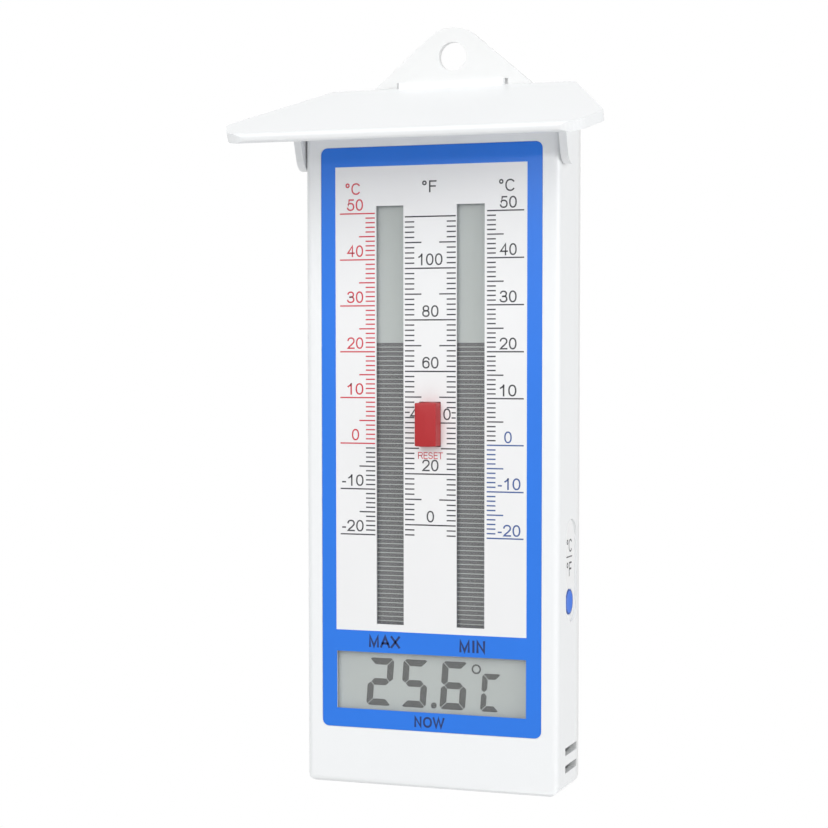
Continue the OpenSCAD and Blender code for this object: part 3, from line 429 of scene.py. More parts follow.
@dataclass(frozen=True)
class Box:
    """The lowest and highest corners of a node, in metres."""

    low: Vector
    high: Vector

    @classmethod
    def of(cls, node: str) -> "Box":
        """Reads a node's box from the frame."""
        low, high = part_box(node)
        return cls(Vector(low), Vector(high))

    @property
    def middle(self) -> Vector:
        """The middle of the box."""
        return (self.low + self.high) / 2


# ---------------------------------------------------------------- printed letters


@dataclass(frozen=True)
class Glyph:
    """One letter drawn with a pen of even width, in a box that is one unit high.

    Attributes:
        width: width of the letter.
        strokes: the pen's paths, each from (0, 0) to (1, 1) inside the box less half the pen on each side.
        left: free room on its left.
        right: free room on its right.
    """

    width: float
    strokes: tuple[tuple[Point, ...], ...]
    left: float = 0.06
    right: float = 0.06


def bow(cx: float, cz: float, rx: float, rz: float, start: float, end: float,
        steps: int = 18) -> tuple[Point, ...]:
    """Returns points along part of a slightly squared ellipse.

    Args:
        cx: its middle across.
        cz: its middle up.
        rx: its half width.
        rz: its half height.
        start: the angle where it starts, in degrees.
        end: the angle where it ends, in degrees.
        steps: the number of pieces.

    Returns:
        The points in order.
    """
    points = []
    for step in range(steps + 1):
        turn = math.radians(start + (end - start) * step / steps)
        c, s = math.cos(turn), math.sin(turn)
        points.append((cx + rx * math.copysign(abs(c) ** 0.9, c), cz + rz * math.copysign(abs(s) ** 0.9, s)))
    return tuple(points)


GLYPHS: dict[str, Glyph] = {
    "0": Glyph(0.66, (bow(0.5, 0.5, 0.5, 0.5, 90, 450, 32),)),
    "1": Glyph(0.4, (((0.9, 0), (0.9, 1)), ((0.9, 0.97), (0.55, 0.84), (0.0, 0.72))), 0.14, 0.22),
    "2": Glyph(0.66, (bow(0.5, 0.72, 0.5, 0.28, 172, -30, 14)
                      + ((0.62, 0.36), (0.2, 0.14), (0.02, 0), (1, 0)),)),
    "3": Glyph(0.65, (bow(0.47, 0.755, 0.46, 0.245, 165, -88, 14) + ((0.34, 0.51),),
                      ((0.34, 0.51),) + bow(0.47, 0.265, 0.53, 0.265, 88, -165, 16))),
    "4": Glyph(0.7, (((0.74, 0), (0.74, 1), (0, 0.31), (1, 0.31)),)),
    "5": Glyph(0.66, (((0.92, 1), (0.24, 1), (0.1, 0.5)) + bow(0.47, 0.33, 0.53, 0.33, 135, -160, 18),)),
    "6": Glyph(0.66, (bow(0.51, 0.32, 0.49, 0.32, 180, 540, 26), bow(0.55, 0.5, 0.55, 0.5, 182, 38, 16))),
    "8": Glyph(0.66, (bow(0.5, 0.76, 0.43, 0.24, 90, 450, 26), bow(0.5, 0.27, 0.5, 0.27, 90, 450, 26))),
    "-": Glyph(0.34, (((0, 0.32), (1, 0.32)),)),
    "°": Glyph(0.4, (bow(0.5, 0.84, 0.5, 0.16, 90, 450, 18),), 0.06, 0.1),
    "A": Glyph(0.92, (((0, 0), (0.5, 1), (1, 0)), ((0.17, 0.33), (0.83, 0.33))), 0.02, 0.02),
    "C": Glyph(0.86, (bow(0.52, 0.5, 0.52, 0.5, 42, 318, 26),)),
    "E": Glyph(0.68, (((1, 0), (0, 0), (0, 1), (0.97, 1)), ((0, 0.53), (0.9, 0.53))), 0.1, 0.05),
    "F": Glyph(0.64, (((0, 0), (0, 1), (1, 1)), ((0, 0.52), (0.88, 0.52))), 0.1, 0.05),
    "I": Glyph(0.14, (((0.5, 0), (0.5, 1)),), 0.12, 0.12),
    "M": Glyph(0.92, (((0, 0), (0, 1), (0.5, 0.02), (1, 1), (1, 0)),), 0.1, 0.1),
    "N": Glyph(0.76, (((0, 0), (0, 1), (1, 0), (1, 1)),), 0.1, 0.1),
    "O": Glyph(0.94, (bow(0.5, 0.5, 0.5, 0.5, 90, 450, 32),)),
    "R": Glyph(0.8, (((0, 0), (0, 1)) + bow(0.6, 0.755, 0.38, 0.245, 90, -90, 12) + ((0, 0.51),),
                     ((0.5, 0.51), (0.68, 0.42), (1, 0))), 0.1, 0.03),
    "S": Glyph(0.74, (bow(0.48, 0.755, 0.45, 0.245, 25, 235, 14) + ((0.5, 0.52), (0.72, 0.46))
                      + bow(0.5, 0.265, 0.5, 0.265, 48, -160, 14),)),
    "T": Glyph(0.76, (((0, 1), (1, 1)), ((0.5, 1), (0.5, 0))), 0.03, 0.03),
    "W": Glyph(1.24, (((0, 1), (0.26, 0), (0.5, 1), (0.74, 0), (1, 1)),), 0.02, 0.02),
    "X": Glyph(0.86, (((0, 0), (1, 1)), ((0, 1), (1, 0))), 0.03, 0.03),
}


def ribbon_sides(path: Sequence[Point], half: float) -> tuple[list[Point], list[Point]]:
    """Returns the two sides of a pen stroke, with mitred corners.

    Args:
        path: the middle of the stroke; it is a ring when it ends where it starts.
        half: half the pen's width.

    Returns:
        The points on its left and on its right.
    """
    ring = math.dist(path[0], path[-1]) < 1e-6
    points = list(path[:-1]) if ring else list(path)
    count = len(points)
    if not ring:
        for end, inner in ((0, 1), (-1, -2)):
            (x, z), (nx, nz) = points[end], points[inner]
            reach = half / math.dist((x, z), (nx, nz))
            points[end] = (x + (x - nx) * reach, z + (z - nz) * reach)
    left: list[Point] = []
    right: list[Point] = []
    for i, (x, z) in enumerate(points):
        before = points[i - 1] if ring or i > 0 else None
        after = points[(i + 1) % count] if ring or i < count - 1 else None
        ways = []
        for one, two in ((before, (x, z)), ((x, z), after)):
            if one is not None and two is not None:
                length = math.dist(one, two)
                ways.append(((two[0] - one[0]) / length, (two[1] - one[1]) / length))
        nx = -sum(way[1] for way in ways)
        nz = sum(way[0] for way in ways)
        size = math.hypot(nx, nz) or 1.0
        nx, nz = nx / size, nz / size
        lean = max(SHARPEST_MITRE, -nx * ways[0][1] + nz * ways[0][0])
        left.append((x + nx * half / lean, z + nz * half / lean))
        right.append((x - nx * half / lean, z - nz * half / lean))
    return left, right


def add_stroke(build: bmesh.types.BMesh, path: Sequence[Point], half: float,
               place: Callable[[Point, bool], tuple[float, float, float]]) -> None:
    """Adds one closed pen stroke.

    Args:
        build: the bmesh that takes it.
        path: the middle of the stroke.
        half: half the pen's width.
        place: gives the place of a point on the front or, when the flag is False, on the back.
    """
    left, right = ribbon_sides(path, half)
    ring = math.dist(path[0], path[-1]) < 1e-6
    rings = [[Vector(place(p, shown)) for p, shown in
              ((one, True), (two, True), (two, False), (one, False))] for one, two in zip(left, right)]
    add_rings(build, rings, looped=ring)


def add_text(build: bmesh.types.BMesh, words: str, left: float, right: float, low: float, high: float,
             front: float, back: float, bold: bool = False) -> None:
    """Adds a printed word that fills a box on a plane that faces -Y.

    Args:
        build: the bmesh that takes it.
        words: the word.
        left: lowest X of the word.
        right: highest X of the word.
        low: lowest Z of the word.
        high: highest Z of the word.
        front: Y of its front.
        back: Y of its back.
        bold: draws it with a wide pen.
    """
    pen = BOLD_PEN if bold else PEN
    half = pen / 2
    glyphs = [GLYPHS[letter] for letter in words]
    spans: list[float] = []
    x = 0.0
    for i, glyph in enumerate(glyphs):
        x += glyph.left if i else 0.0
        spans.append(x)
        x += glyph.width + glyph.right
    across = (right - left) / (x - glyphs[-1].right)
    up = high - low
    for start, glyph in zip(spans, glyphs):
        inner = max(0.0, glyph.width - pen)
        for stroke in glyph.strokes:
            path = [(start + half + px * inner, half + pz * (1 - pen)) for px, pz in stroke]
            add_stroke(build, path, half,
                       lambda p, shown: (left + p[0] * across, front if shown else back, low + p[1] * up))


# ---------------------------------------------------------------- moulded shells


@dataclass
class SoftShells:
    """The parts that keep their own solid and get a finish and softly broken edges.

    Attributes:
        break_edge: width of the broken edges on the moulded shells.
        merge: distance under which a shell's points are welded.
        sharper_than: the edges that are broken turn by more than this, in degrees.
        plain: node to finish, for parts that only need their finish.
        moulded: node to finish, for shells that also get broken edges.
    """

    break_edge: float = 0.22 * MM
    merge: float = 0.002 * MM
    sharper_than: float = 40.0
    moulded: dict[str, Finish] = field(default_factory=lambda: {
        "front_case": WHITE, "back_cover": WHITE_TONED_FOR_TAB_LIGHT, "rain_hood": WHITE, "battery_door": WHITE,
        "display_frame": IVORY})
    plain: dict[str, Finish] = field(default_factory=lambda: {
        "fascia_label": LABEL_BLUE, "side_label": SIDE_WHITE,
        "bar_window_left": CLEAR_PLATE, "bar_window_right": CLEAR_PLATE, "digit_window": CLEAR_PLATE,
        "bar_display_left": CRYSTAL, "bar_display_right": CRYSTAL, "digit_display": CRYSTAL,
        "bar_contact_strips": RUBBER, "digit_contact_strip": RUBBER,
        "circuit_board": BOARD, "chip_resin": BLACK, "board_parts": CERAMIC,
        "clear_switch": BLACK, "clear_plunger": IVORY, "unit_switch": BLACK, "unit_plunger": IVORY,
        "unit_switch_board": BOARD, "unit_leads": TINNED, "sensor_bead": BLACK, "sensor_leads": TINNED,
        "battery_cell": SLEEVE, "plate_contact": NICKEL, "spring_contact": NICKEL,
        "red_wire": RED_WIRE, "black_wire": BLACK_WIRE})

    def dress(self, nodes: dict[str, bpy.types.Object]) -> None:
        """Gives each node its finish, and the shells their edges.

        Args:
            nodes: the frame's nodes by name.
        """
        for name, finish in {**self.plain, **self.moulded}.items():
            shell = nodes[name]
            shell.data.materials.clear()
            shell.data.materials.append(finish.build())
            if name in self.moulded:
                self._break_edges(shell)
            LOG.info("%s: finished in %s", name, finish.name)

    def _break_edges(self, shell: bpy.types.Object) -> None:
        """Adds modifiers that weld the solid's faces and break its sharp edges.

        Args:
            shell: the node's object.
        """
        weld = shell.modifiers.new("weld", "WELD")
        weld.merge_threshold = self.merge
        edge = shell.modifiers.new("broken_edges", "BEVEL")
        edge.width = self.break_edge
        edge.segments = 2
        edge.limit_method = "ANGLE"
        edge.angle_limit = math.radians(self.sharper_than)
        edge.use_clamp_overlap = True
        edge.miter_outer = "MITER_ARC"
        edge.harden_normals = False
        even = shell.modifiers.new("even_shading", "WEIGHTED_NORMAL")
        even.keep_sharp = True
        even.weight = 60


# ---------------------------------------------------------------- printed label


class Mark(Enum):
    """The length of a scale mark."""

    SHORT = "short"
    MIDDLE = "middle"
    LONG = "long"


@dataclass(frozen=True)
class Word:
    """One printed word and the box that it fills, in millimetres from the middle of the label.

    Attributes:
        ink: its colour.
        text: the word.
        left: the box's left side.
        right: the box's right side.
        low: the box's lower side.
        high: the box's upper side.
        bold: prints it with a wide pen.
        level: the printed layer that it lies in.
    """

    ink: Finish
    text: str
    left: float
    right: float
    low: float
    high: float
    bold: bool = False
    level: int = 1


@dataclass
class PrintedLabel:
    """The printed film on the front: its panel, scales, figures and words.

    All sizes are in millimetres from the middle of the label.

    Attributes:
        panel_half: half the white panel's width.
        panel_low: the white panel's lower edge.
        panel_high: the white panel's upper edge.
        zero: height of 0 degrees C.
        degree: height of one degree C.
        line: thickness of a scale line.
        figure: height of the figures.
        figure_lift: gap between a line and the figure on it.
        flange: width of the flange of each window plate.
        button_flange: width of the clear button's flange behind the label.
        button_room: gap round the clear button in its opening.
        fahrenheit_lift: how far the middle scale sits above the true height.
        film: thickness of a printed layer.
        lining: thickness of the white edge inside the panel's openings.
        spare_right: width of the marks that stand right of the divided figures.
        spare_left: width of the upper mark that stands left of the divided figures.
        word_room: height kept free under the clear button for its word.
        digits_wide: width of a number by its count of digits.
        minus_wide: room that a minus sign takes.
        figures_left: middle of the numbers on the left scale.
        figures_right: middle of the numbers on the right scale.
        minus_shift: how far the numbers below zero stand to the right on the right scale.
        figures_drop: how much closer to its line a number on the right scale stands.
        figures_centre: middle of the numbers on the middle scale.
        divided: the number that the clear button divides, with each digit's middle.
        words: the headings and the plain words round the displays.
    """

    panel_half: float = 30.18
    panel_low: float = -57.98
    panel_high: float = 81.94
    zero: float = -1.1
    degree: float = 1.381
    line: float = 0.4
    figure: float = 3.5
    figure_lift: float = 0.66
    flange: float = 1.5
    button_flange: float = 1.2
    button_room: float = 0.15
    fahrenheit_lift: float = 0.28
    film: float = 0.008
    lining: float = 0.03
    spare_right: float = 1.3
    spare_left: float = 1.5
    word_room: float = 1.3
    digits_wide: tuple[float, float, float] = (2.35, 5.15, 7.65)
    minus_wide: float = 1.85
    figures_left: float = -23.84
    figures_right: float = 24.4
    minus_shift: float = 1.3
    figures_drop: float = 0.2
    figures_centre: float = 0.15
    divided: tuple[int, tuple[float, float]] = (40, (-5.1, 5.4))
    words: tuple[Word, ...] = (
        Word(INK_RED, "°C", -26.9, -22.1, 73.6, 77.1),
        Word(INK_BLACK, "°F", -2.45, 2.1, 73.8, 77.3),
        Word(INK_BLACK, "°C", 21.5, 26.4, 73.5, 77.1),
        Word(INK_RED, "RESET", -3.75, 4.1, -5.5, -3.45),
        Word(INK_NAVY, "MAX", -19.6, -9.6, -63.0, -59.3, bold=True, level=0),
        Word(INK_NAVY, "MIN", 9.3, 17.4, -63.2, -59.5, bold=True, level=0),
        Word(INK_NAVY, "NOW", -5.0, 4.6, -86.6, -83.3, bold=True, level=0),
    )
    left_ends: dict[Mark, float] = field(default_factory=lambda: {
        Mark.SHORT: -20.48, Mark.MIDDLE: -22.58, Mark.LONG: -28.75})
    right_ends: dict[Mark, float] = field(default_factory=lambda: {
        Mark.SHORT: 20.56, Mark.MIDDLE: 22.97, Mark.LONG: 29.23})
    left_start: float = -17.49
    right_start: float = 17.84
    centre_left: float = -7.91
    centre_right: float = 8.13
    centre_left_ends: dict[Mark, float] = field(default_factory=lambda: {
        Mark.SHORT: -4.92, Mark.MIDDLE: -2.67, Mark.LONG: 0.1})
    centre_right_ends: dict[Mark, float] = field(default_factory=lambda: {
        Mark.SHORT: 5.3, Mark.MIDDLE: 2.95, Mark.LONG: 0.1})

    def make(self) -> None:
        """Builds every printed layer."""
        label = Box.of("fascia_label")
        self.middle_z = label.middle.z
        self.front = label.low.y
        button = Box.of("clear_button")
        reach = self.button_flange - self.button_room
        self.button_z = (button.middle.z - self.middle_z) / MM
        self.opening_half = (button.high.x - button.low.x) / 2 / MM - reach
        self.opening_high = (button.high.z - button.low.z) / 2 / MM - reach
        self.inks: dict[Finish, bmesh.types.BMesh] = {
            ink: bmesh.new() for ink in (INK_BLACK, INK_RED, INK_BLUE, INK_NAVY)}
        self._panel()
        self._celsius_scales()
        self._fahrenheit_scale()
        for word in self.words:
            self._write(word)
        for ink, build in self.inks.items():
            piece(f"print_{ink.name}", finished_mesh(ink.name, build), ink, CASING)

    def _layer(self, level: int) -> tuple[float, float]:
        """Returns the front and back Y of a printed layer; level 0 lies on the film."""
        back = self.front - level * self.film * MM
        return back - self.film * MM, back

    def _z(self, height: float) -> float:
        """Turns a height on the label into the frame's Z."""
        return self.middle_z + height * MM

    def _height(self, celsius: float) -> float:
        """Returns the height of a temperature on the label."""
        return self.zero + self.degree * celsius

    def _panel(self) -> None:
        """Prints the white panel round the windows and the clear button."""
        front, back = self._layer(0)
        windows = [Box.of("bar_window_left"), Box.of("bar_window_right")]
        trim = self.flange * MM
        holes = [(w.low.x + trim, w.high.x - trim, w.low.z + trim, w.high.z - trim) for w in windows]
        holes.append((-self.opening_half * MM, self.opening_half * MM,
                      self._z(self.button_z - self.opening_high), self._z(self.button_z + self.opening_high)))
        xs = sorted({-self.panel_half * MM, self.panel_half * MM, *(x for h in holes for x in h[:2])})
        zs = sorted({self._z(self.panel_low), self._z(self.panel_high), *(z for h in holes for z in h[2:])})
        build = bmesh.new()
        add_grid_plate(build, xs, zs, lambda x, z: any(h[0] < x < h[1] and h[2] < z < h[3] for h in holes),
                       front, back)
        piece("print_white_panel", finished_mesh("white_panel", build), LABEL_WHITE, CASING)
        self._opening_edges(holes, front)

    def _opening_edges(self, holes: Iterable[tuple[float, float, float, float]], front: float) -> None:
        """Lines the panel's openings in white.

        Args:
            holes: each opening's sides as (left, right, low, high), in metres.
            front: Y of the panel's front.
        """
        edges = bmesh.new()
        lining, film_back = self.lining * MM, Box.of("fascia_label").high.y
        for x0, x1, z0, z1 in holes:
            inner = rectangle(x0 + lining, x1 - lining, z0 + lining, z1 - lining)
            add_ring_plate(edges, rectangle(x0, x1, z0, z1), inner, front, film_back)
        piece("print_opening_edges", finished_mesh("opening_edges", edges), LABEL_WHITE, CASING)

    def _rule(self, ink: Finish, x0: float, x1: float, height: float) -> None:
        """Prints one scale line.

        Args:
            ink: its colour.
            x0: its left end.
            x1: its right end.
            height: its height on the label.
        """
        front, back = self._layer(1)
        half = self.line / 2
        add_prism(self.inks[ink], rectangle(x0 * MM, x1 * MM, self._z(height - half), self._z(height + half)),
                  front, back)

    def _write(self, word: Word) -> None:
        """Prints a word on the label.

        Args:
            word: the word and its box.
        """
        front, back = self._layer(word.level)
        add_text(self.inks[word.ink], word.text, word.left * MM, word.right * MM, self._z(word.low),
                 self._z(word.high), front, back, word.bold)

    def _figures(self, ink: Finish, words: str, centre: float, height: float, drop: float = 0.0) -> None:
        """Prints a number centred above its line.

        Args:
            ink: its colour.
            words: the number.
            centre: the middle of its digits.
            height: the height of its line.
            drop: how much closer to its line it stands than the other numbers.
        """
        digits = words.lstrip("-")
        wide = self.digits_wide[len(digits) - 1]
        left = centre - wide / 2 - (self.minus_wide if words != digits else 0)
        low = height + self.line / 2 + self.figure_lift - drop
        self._write(Word(ink, words, left, centre + wide / 2, low, low + self.figure))

    def _celsius_scales(self) -> None:
        """Prints the degrees C on both sides."""
        for celsius in range(-20, 51):
            mark = Mark.LONG if celsius % 10 == 0 else Mark.MIDDLE if celsius % 5 == 0 else Mark.SHORT
            height = self._height(celsius)
            left_ink = INK_RED if celsius >= 0 else INK_BLACK
            right_ink = INK_BLACK if celsius > 0 else INK_BLUE
            self._rule(left_ink, self.left_ends[mark], self.left_start, height)
            self._rule(right_ink, self.right_start, self.right_ends[mark], height)
            if mark is Mark.LONG:
                shift = self.minus_shift if celsius < 0 else 0.0
                self._figures(left_ink, str(celsius), self.figures_left, height)
                self._figures(right_ink, str(celsius), self.figures_right + shift, height, self.figures_drop)

    def _fahrenheit_scale(self) -> None:
        """Prints the degrees F between the bars."""
        divided, digit_places = self.divided
        button_low = self.button_z - self.opening_high - self.word_room
        button_high = self.button_z + self.opening_high
        for fahrenheit in range(-4, 121, 2):
            mark = Mark.LONG if fahrenheit % 20 == 0 else Mark.MIDDLE if fahrenheit % 10 == 0 else Mark.SHORT
            height = self._height((fahrenheit - FAHRENHEIT_ZERO) / FAHRENHEIT_STEP) + self.fahrenheit_lift
            left, right = self.centre_left_ends[mark], self.centre_right_ends[mark]
            if button_low < height < button_high:
                left, right = min(left, -self.opening_half), max(right, self.opening_half)
            if fahrenheit in (divided + 2, divided + 4):
                right = self.centre_right - self.spare_right
            if fahrenheit == divided + 4:
                left = self.centre_left + self.spare_left
            self._rule(INK_BLACK, self.centre_left, left, height)
            self._rule(INK_BLACK, right, self.centre_right, height)
            if fahrenheit == divided:
                for digit, place in zip(str(divided), digit_places):
                    self._figures(INK_BLACK, digit, place, height)
            elif mark is Mark.LONG and fahrenheit != 120:
                self._figures(INK_BLACK, str(fahrenheit), self.figures_centre, height)


# ---------------------------------------------------------------- displays


@dataclass
class BarDisplays:
    """The dark segments of the two bar displays.

    Attributes:
        top: height of the highest dark segment, in millimetres from the label's middle.
        pitch: distance from one segment to the next, in millimetres.
        gap: the light line between two segments, in millimetres.
        margin: how far the segments reach past the window's sides, in millimetres.
        film: thickness of a segment, in millimetres.
        flange: width of the flange of a window plate, in millimetres.
        least: height of the lowest part of a segment that is still shown, in millimetres.
    """

    top: float = 29.2
    pitch: float = 1.381
    gap: float = 0.24
    margin: float = 0.4
    film: float = 0.02
    flange: float = 1.5
    least: float = 0.5

    def make(self) -> None:
        """Builds the segments of both bars."""
        middle_z = Box.of("fascia_label").middle.z
        for side in ("left", "right"):
            window = Box.of(f"bar_window_{side}")
            front = Box.of(f"bar_display_{side}").low.y
            trim = (self.flange - self.margin) * MM
            build = bmesh.new()
            high = middle_z + self.top * MM
            while high > window.low.z + self.least * MM:
                low = max(high - (self.pitch - self.gap) * MM, window.low.z)
                add_prism(build, rectangle(window.low.x + trim, window.high.x - trim, low, high),
                          front - self.film * MM, front)
                high -= self.pitch * MM
            piece(f"bar_segments_{side}", finished_mesh(f"bar_segments_{side}", build), BAR_SEGMENT, CASING)


@dataclass
class DigitDisplay:
    """The seven-segment figures of the lower display.

    Sizes are in millimetres from the middle of the label.

    Attributes:
        low: the figures' lower edge.
        high: a figure's height.
        wide: a figure's width.
        stroke: thickness of a segment.
        gap: the light gap between segments.
        slant: how far a figure leans, in degrees.
        film: thickness of a segment in front of the cell.
        figures: each figure and its left edge.
        unit: the unit's left edge, width, height and stroke.
        point: the decimal point's left edge and radius.
        ring: the middle and the two radii of the degree ring.
    """

    low: float = -81.0
    high: float = 14.6
    wide: float = 8.1
    stroke: float = 2.05
    gap: float = 0.13
    slant: float = 4.2
    film: float = 0.02
    figures: tuple[tuple[str, float], ...] = (("2", -21.25), ("5", -10.15), ("6", 2.35))
    unit: tuple[float, float, float, float] = (15.2, 6.0, 11.5, 1.75)
    point: tuple[float, float] = (0.2, 0.95)
    ring: tuple[float, float, float, float] = (14.05, -68.35, 1.5, 0.98)

    LIT: ClassVar[dict[str, str]] = {"2": "abged", "5": "afgcd", "6": "afgedc", "C": "afed"}

    def _segments(self, wide: float, high: float, stroke: float) -> dict[str, list[Point]]:
        """Returns the outlines of the seven segments of an upright figure.

        Args:
            wide: the figure's width.
            high: its height.
            stroke: the thickness of a segment.

        Returns:
            Outlines by segment letter, from the figure's lower left corner.
        """
        cut, bevel, gap, mid = 0.42 * stroke, 0.18 * stroke, self.gap, high / 2
        half = stroke / 2
        top = [(bevel + gap, high - bevel), (cut + gap, high), (wide - cut - gap, high),
               (wide - bevel - gap, high - bevel), (wide - stroke - gap, high - stroke),
               (stroke + gap, high - stroke)]
        upper_left = [(bevel, high - bevel - gap), (stroke, high - stroke - gap), (stroke, mid + half + gap),
                      (half, mid + gap), (0, mid + 0.45 * stroke), (0, high - cut - gap)]
        middle = [(half + gap, mid), (stroke + gap, mid + half), (wide - stroke - gap, mid + half),
                  (wide - half - gap, mid), (wide - stroke - gap, mid - half), (stroke + gap, mid - half)]

        def flip_x(line: list[Point]) -> list[Point]:
            """Mirrors an outline left to right."""
            return [(wide - x, z) for x, z in line]

        def flip_z(line: list[Point]) -> list[Point]:
            """Mirrors an outline top to bottom."""
            return [(x, high - z) for x, z in line]

        return {"a": top, "d": flip_z(top), "f": upper_left, "b": flip_x(upper_left),
                "e": flip_z(upper_left), "c": flip_z(flip_x(upper_left)), "g": middle}

    def _add(self, build: bmesh.types.BMesh, outline: Iterable[Point], left: float, low: float) -> None:
        """Adds one slanted outline to the display.

        Args:
            build: the bmesh that takes it.
            outline: the outline from the figure's lower left corner.
            left: the figure's left edge at its foot.
            low: the figure's foot.
        """
        lean = math.tan(math.radians(self.slant))
        placed = [((left + x + z * lean) * MM, self.middle_z + (low + z) * MM) for x, z in outline]
        add_prism(build, placed, self.front - self.film * MM, self.front)

    def make(self) -> None:
        """Builds the reading and its unit."""
        self.middle_z = Box.of("fascia_label").middle.z
        self.front = Box.of("digit_display").low.y
        build = bmesh.new()
        for figure, left in self.figures:
            parts = self._segments(self.wide, self.high, self.stroke)
            for letter in self.LIT[figure]:
                self._add(build, parts[letter], left, self.low)
        unit_left, wide, high, stroke = self.unit
        parts = self._segments(wide, high, stroke)
        for letter in self.LIT["C"]:
            self._add(build, parts[letter], unit_left, self.low)
        point_left, point_radius = self.point
        self._add(build, circle(0.3, point_radius, point_radius, 24), point_left, self.low)
        x, z, outer, inner = self.ring
        add_ring_plate(build, self._placed(circle(x, z, outer)), self._placed(circle(x, z, inner)),
                       self.front - self.film * MM, self.front)
        piece("digit_segments", finished_mesh("digit_segments", build), SEGMENT, CASING)

    def _placed(self, line: Iterable[Point]) -> list[Point]:
        """Turns an outline in millimetres on the label into the frame."""
        return [(x * MM, self.middle_z + z * MM) for x, z in line]


# ---------------------------------------------------------------- buttons


@dataclass
class ClearButton:
    """The red button that clears the stored readings. Sizes are in millimetres.

    Attributes:
        flange: how far its flange stands out round the stem.
        flange_thick: the flange's thickness.
        bow: how far its ends bow out.
        corner: radius of its upright corners.
        edge: radius of its front edge.
        crown: radius of its crowned front.
        edge_steps: rings round its front edge.
        flange_corner: radius of the flange's corners.
        least_bow: how far the flange's ends bow out.
        least_corner: the smallest corner radius of a ring.
        draws: how far each ring of the front is drawn in, before the last.
        last: half width of the innermost ring.
    """

    flange: float = 1.2
    flange_thick: float = 1.0
    bow: float = 0.15
    corner: float = 0.35
    edge: float = 0.28
    crown: float = 60.0
    edge_steps: int = 5
    flange_corner: float = 0.3
    least_bow: float = 0.05
    least_corner: float = 0.05
    draws: tuple[float, ...] = (1.0, 1.8, 2.6)
    last: float = 0.1

    def _outline(self, half_wide: float, half_high: float, corner: float, bow: float) -> list[Point]:
        """Returns a rounded outline with bowed ends, round the button's middle.

        Args:
            half_wide: half its width.
            half_high: half its height at the middle.
            corner: radius of its corners.
            bow: how far its ends bow out.

        Returns:
            Its points, anticlockwise.
        """
        points: list[Point] = []
        side = half_high - bow
        for cx, cz, start in ((1, 1, 0), (-1, 1, 90), (-1, -1, 180), (1, -1, 270)):
            for step in range(7):
                turn = math.radians(start + 15 * step)
                points.append((cx * (half_wide - corner) + corner * math.cos(turn),
                               cz * (side - corner) + corner * math.sin(turn)))
            if start in (0, 180):
                reach = half_wide - corner
                along = [reach * (1 - 2 * i / 8) for i in range(1, 8)]
                points += [(cz * x, cz * (side + bow * (1 - (x / reach) ** 2))) for x in along]
        return points

    def make(self) -> None:
        """Builds the button."""
        box = Box.of("clear_button")
        half_wide = (box.high.x - box.low.x) / 2 / MM - self.flange
        half_high = (box.high.z - box.low.z) / 2 / MM - self.flange
        middle = box.middle
        back, front = box.high.y / MM, box.low.y / MM

        def ring(grow: float, y: float, corner: float, crowned: bool) -> list[Vector]:
            """Returns one ring of the button's skin.

            Args:
                grow: how far it is grown, or drawn in when below 0.
                y: its depth.
                corner: radius of its corners.
                crowned: whether it follows the crowned front.

            Returns:
                Its points, in metres.
            """
            ends = self.bow if grow <= 0 else self.least_bow
            line = self._outline(half_wide + grow, half_high + grow, max(self.least_corner, corner), ends)
            return [Vector((middle.x + x * MM, (y + (z * z / 2 / self.crown if crowned else 0)) * MM,
                            middle.z + z * MM)) for x, z in line]

        shoulder = back - self.flange_thick
        rings = [ring(self.flange, back, self.flange_corner, False),
                 ring(self.flange, shoulder, self.flange_corner, False),
                 ring(0, shoulder, self.corner, False), ring(0, front + self.edge, self.corner, True)]
        for step in range(1, self.edge_steps + 1):
            turn = math.radians(90 * step / self.edge_steps)
            rings.append(ring(-self.edge * (1 - math.cos(turn)), front + self.edge * (1 - math.sin(turn)),
                              self.corner - 0.6 * self.edge * (1 - math.cos(turn)), True))
        for draw in (*self.draws, half_wide - self.last):
            rings.append(ring(-draw, front, self.last, True))
        build = bmesh.new()
        add_rings(build, rings)
        button = piece("red_button", finished_mesh("red_button", build, 50), RED, CLEAR)
        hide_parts("clear_button")


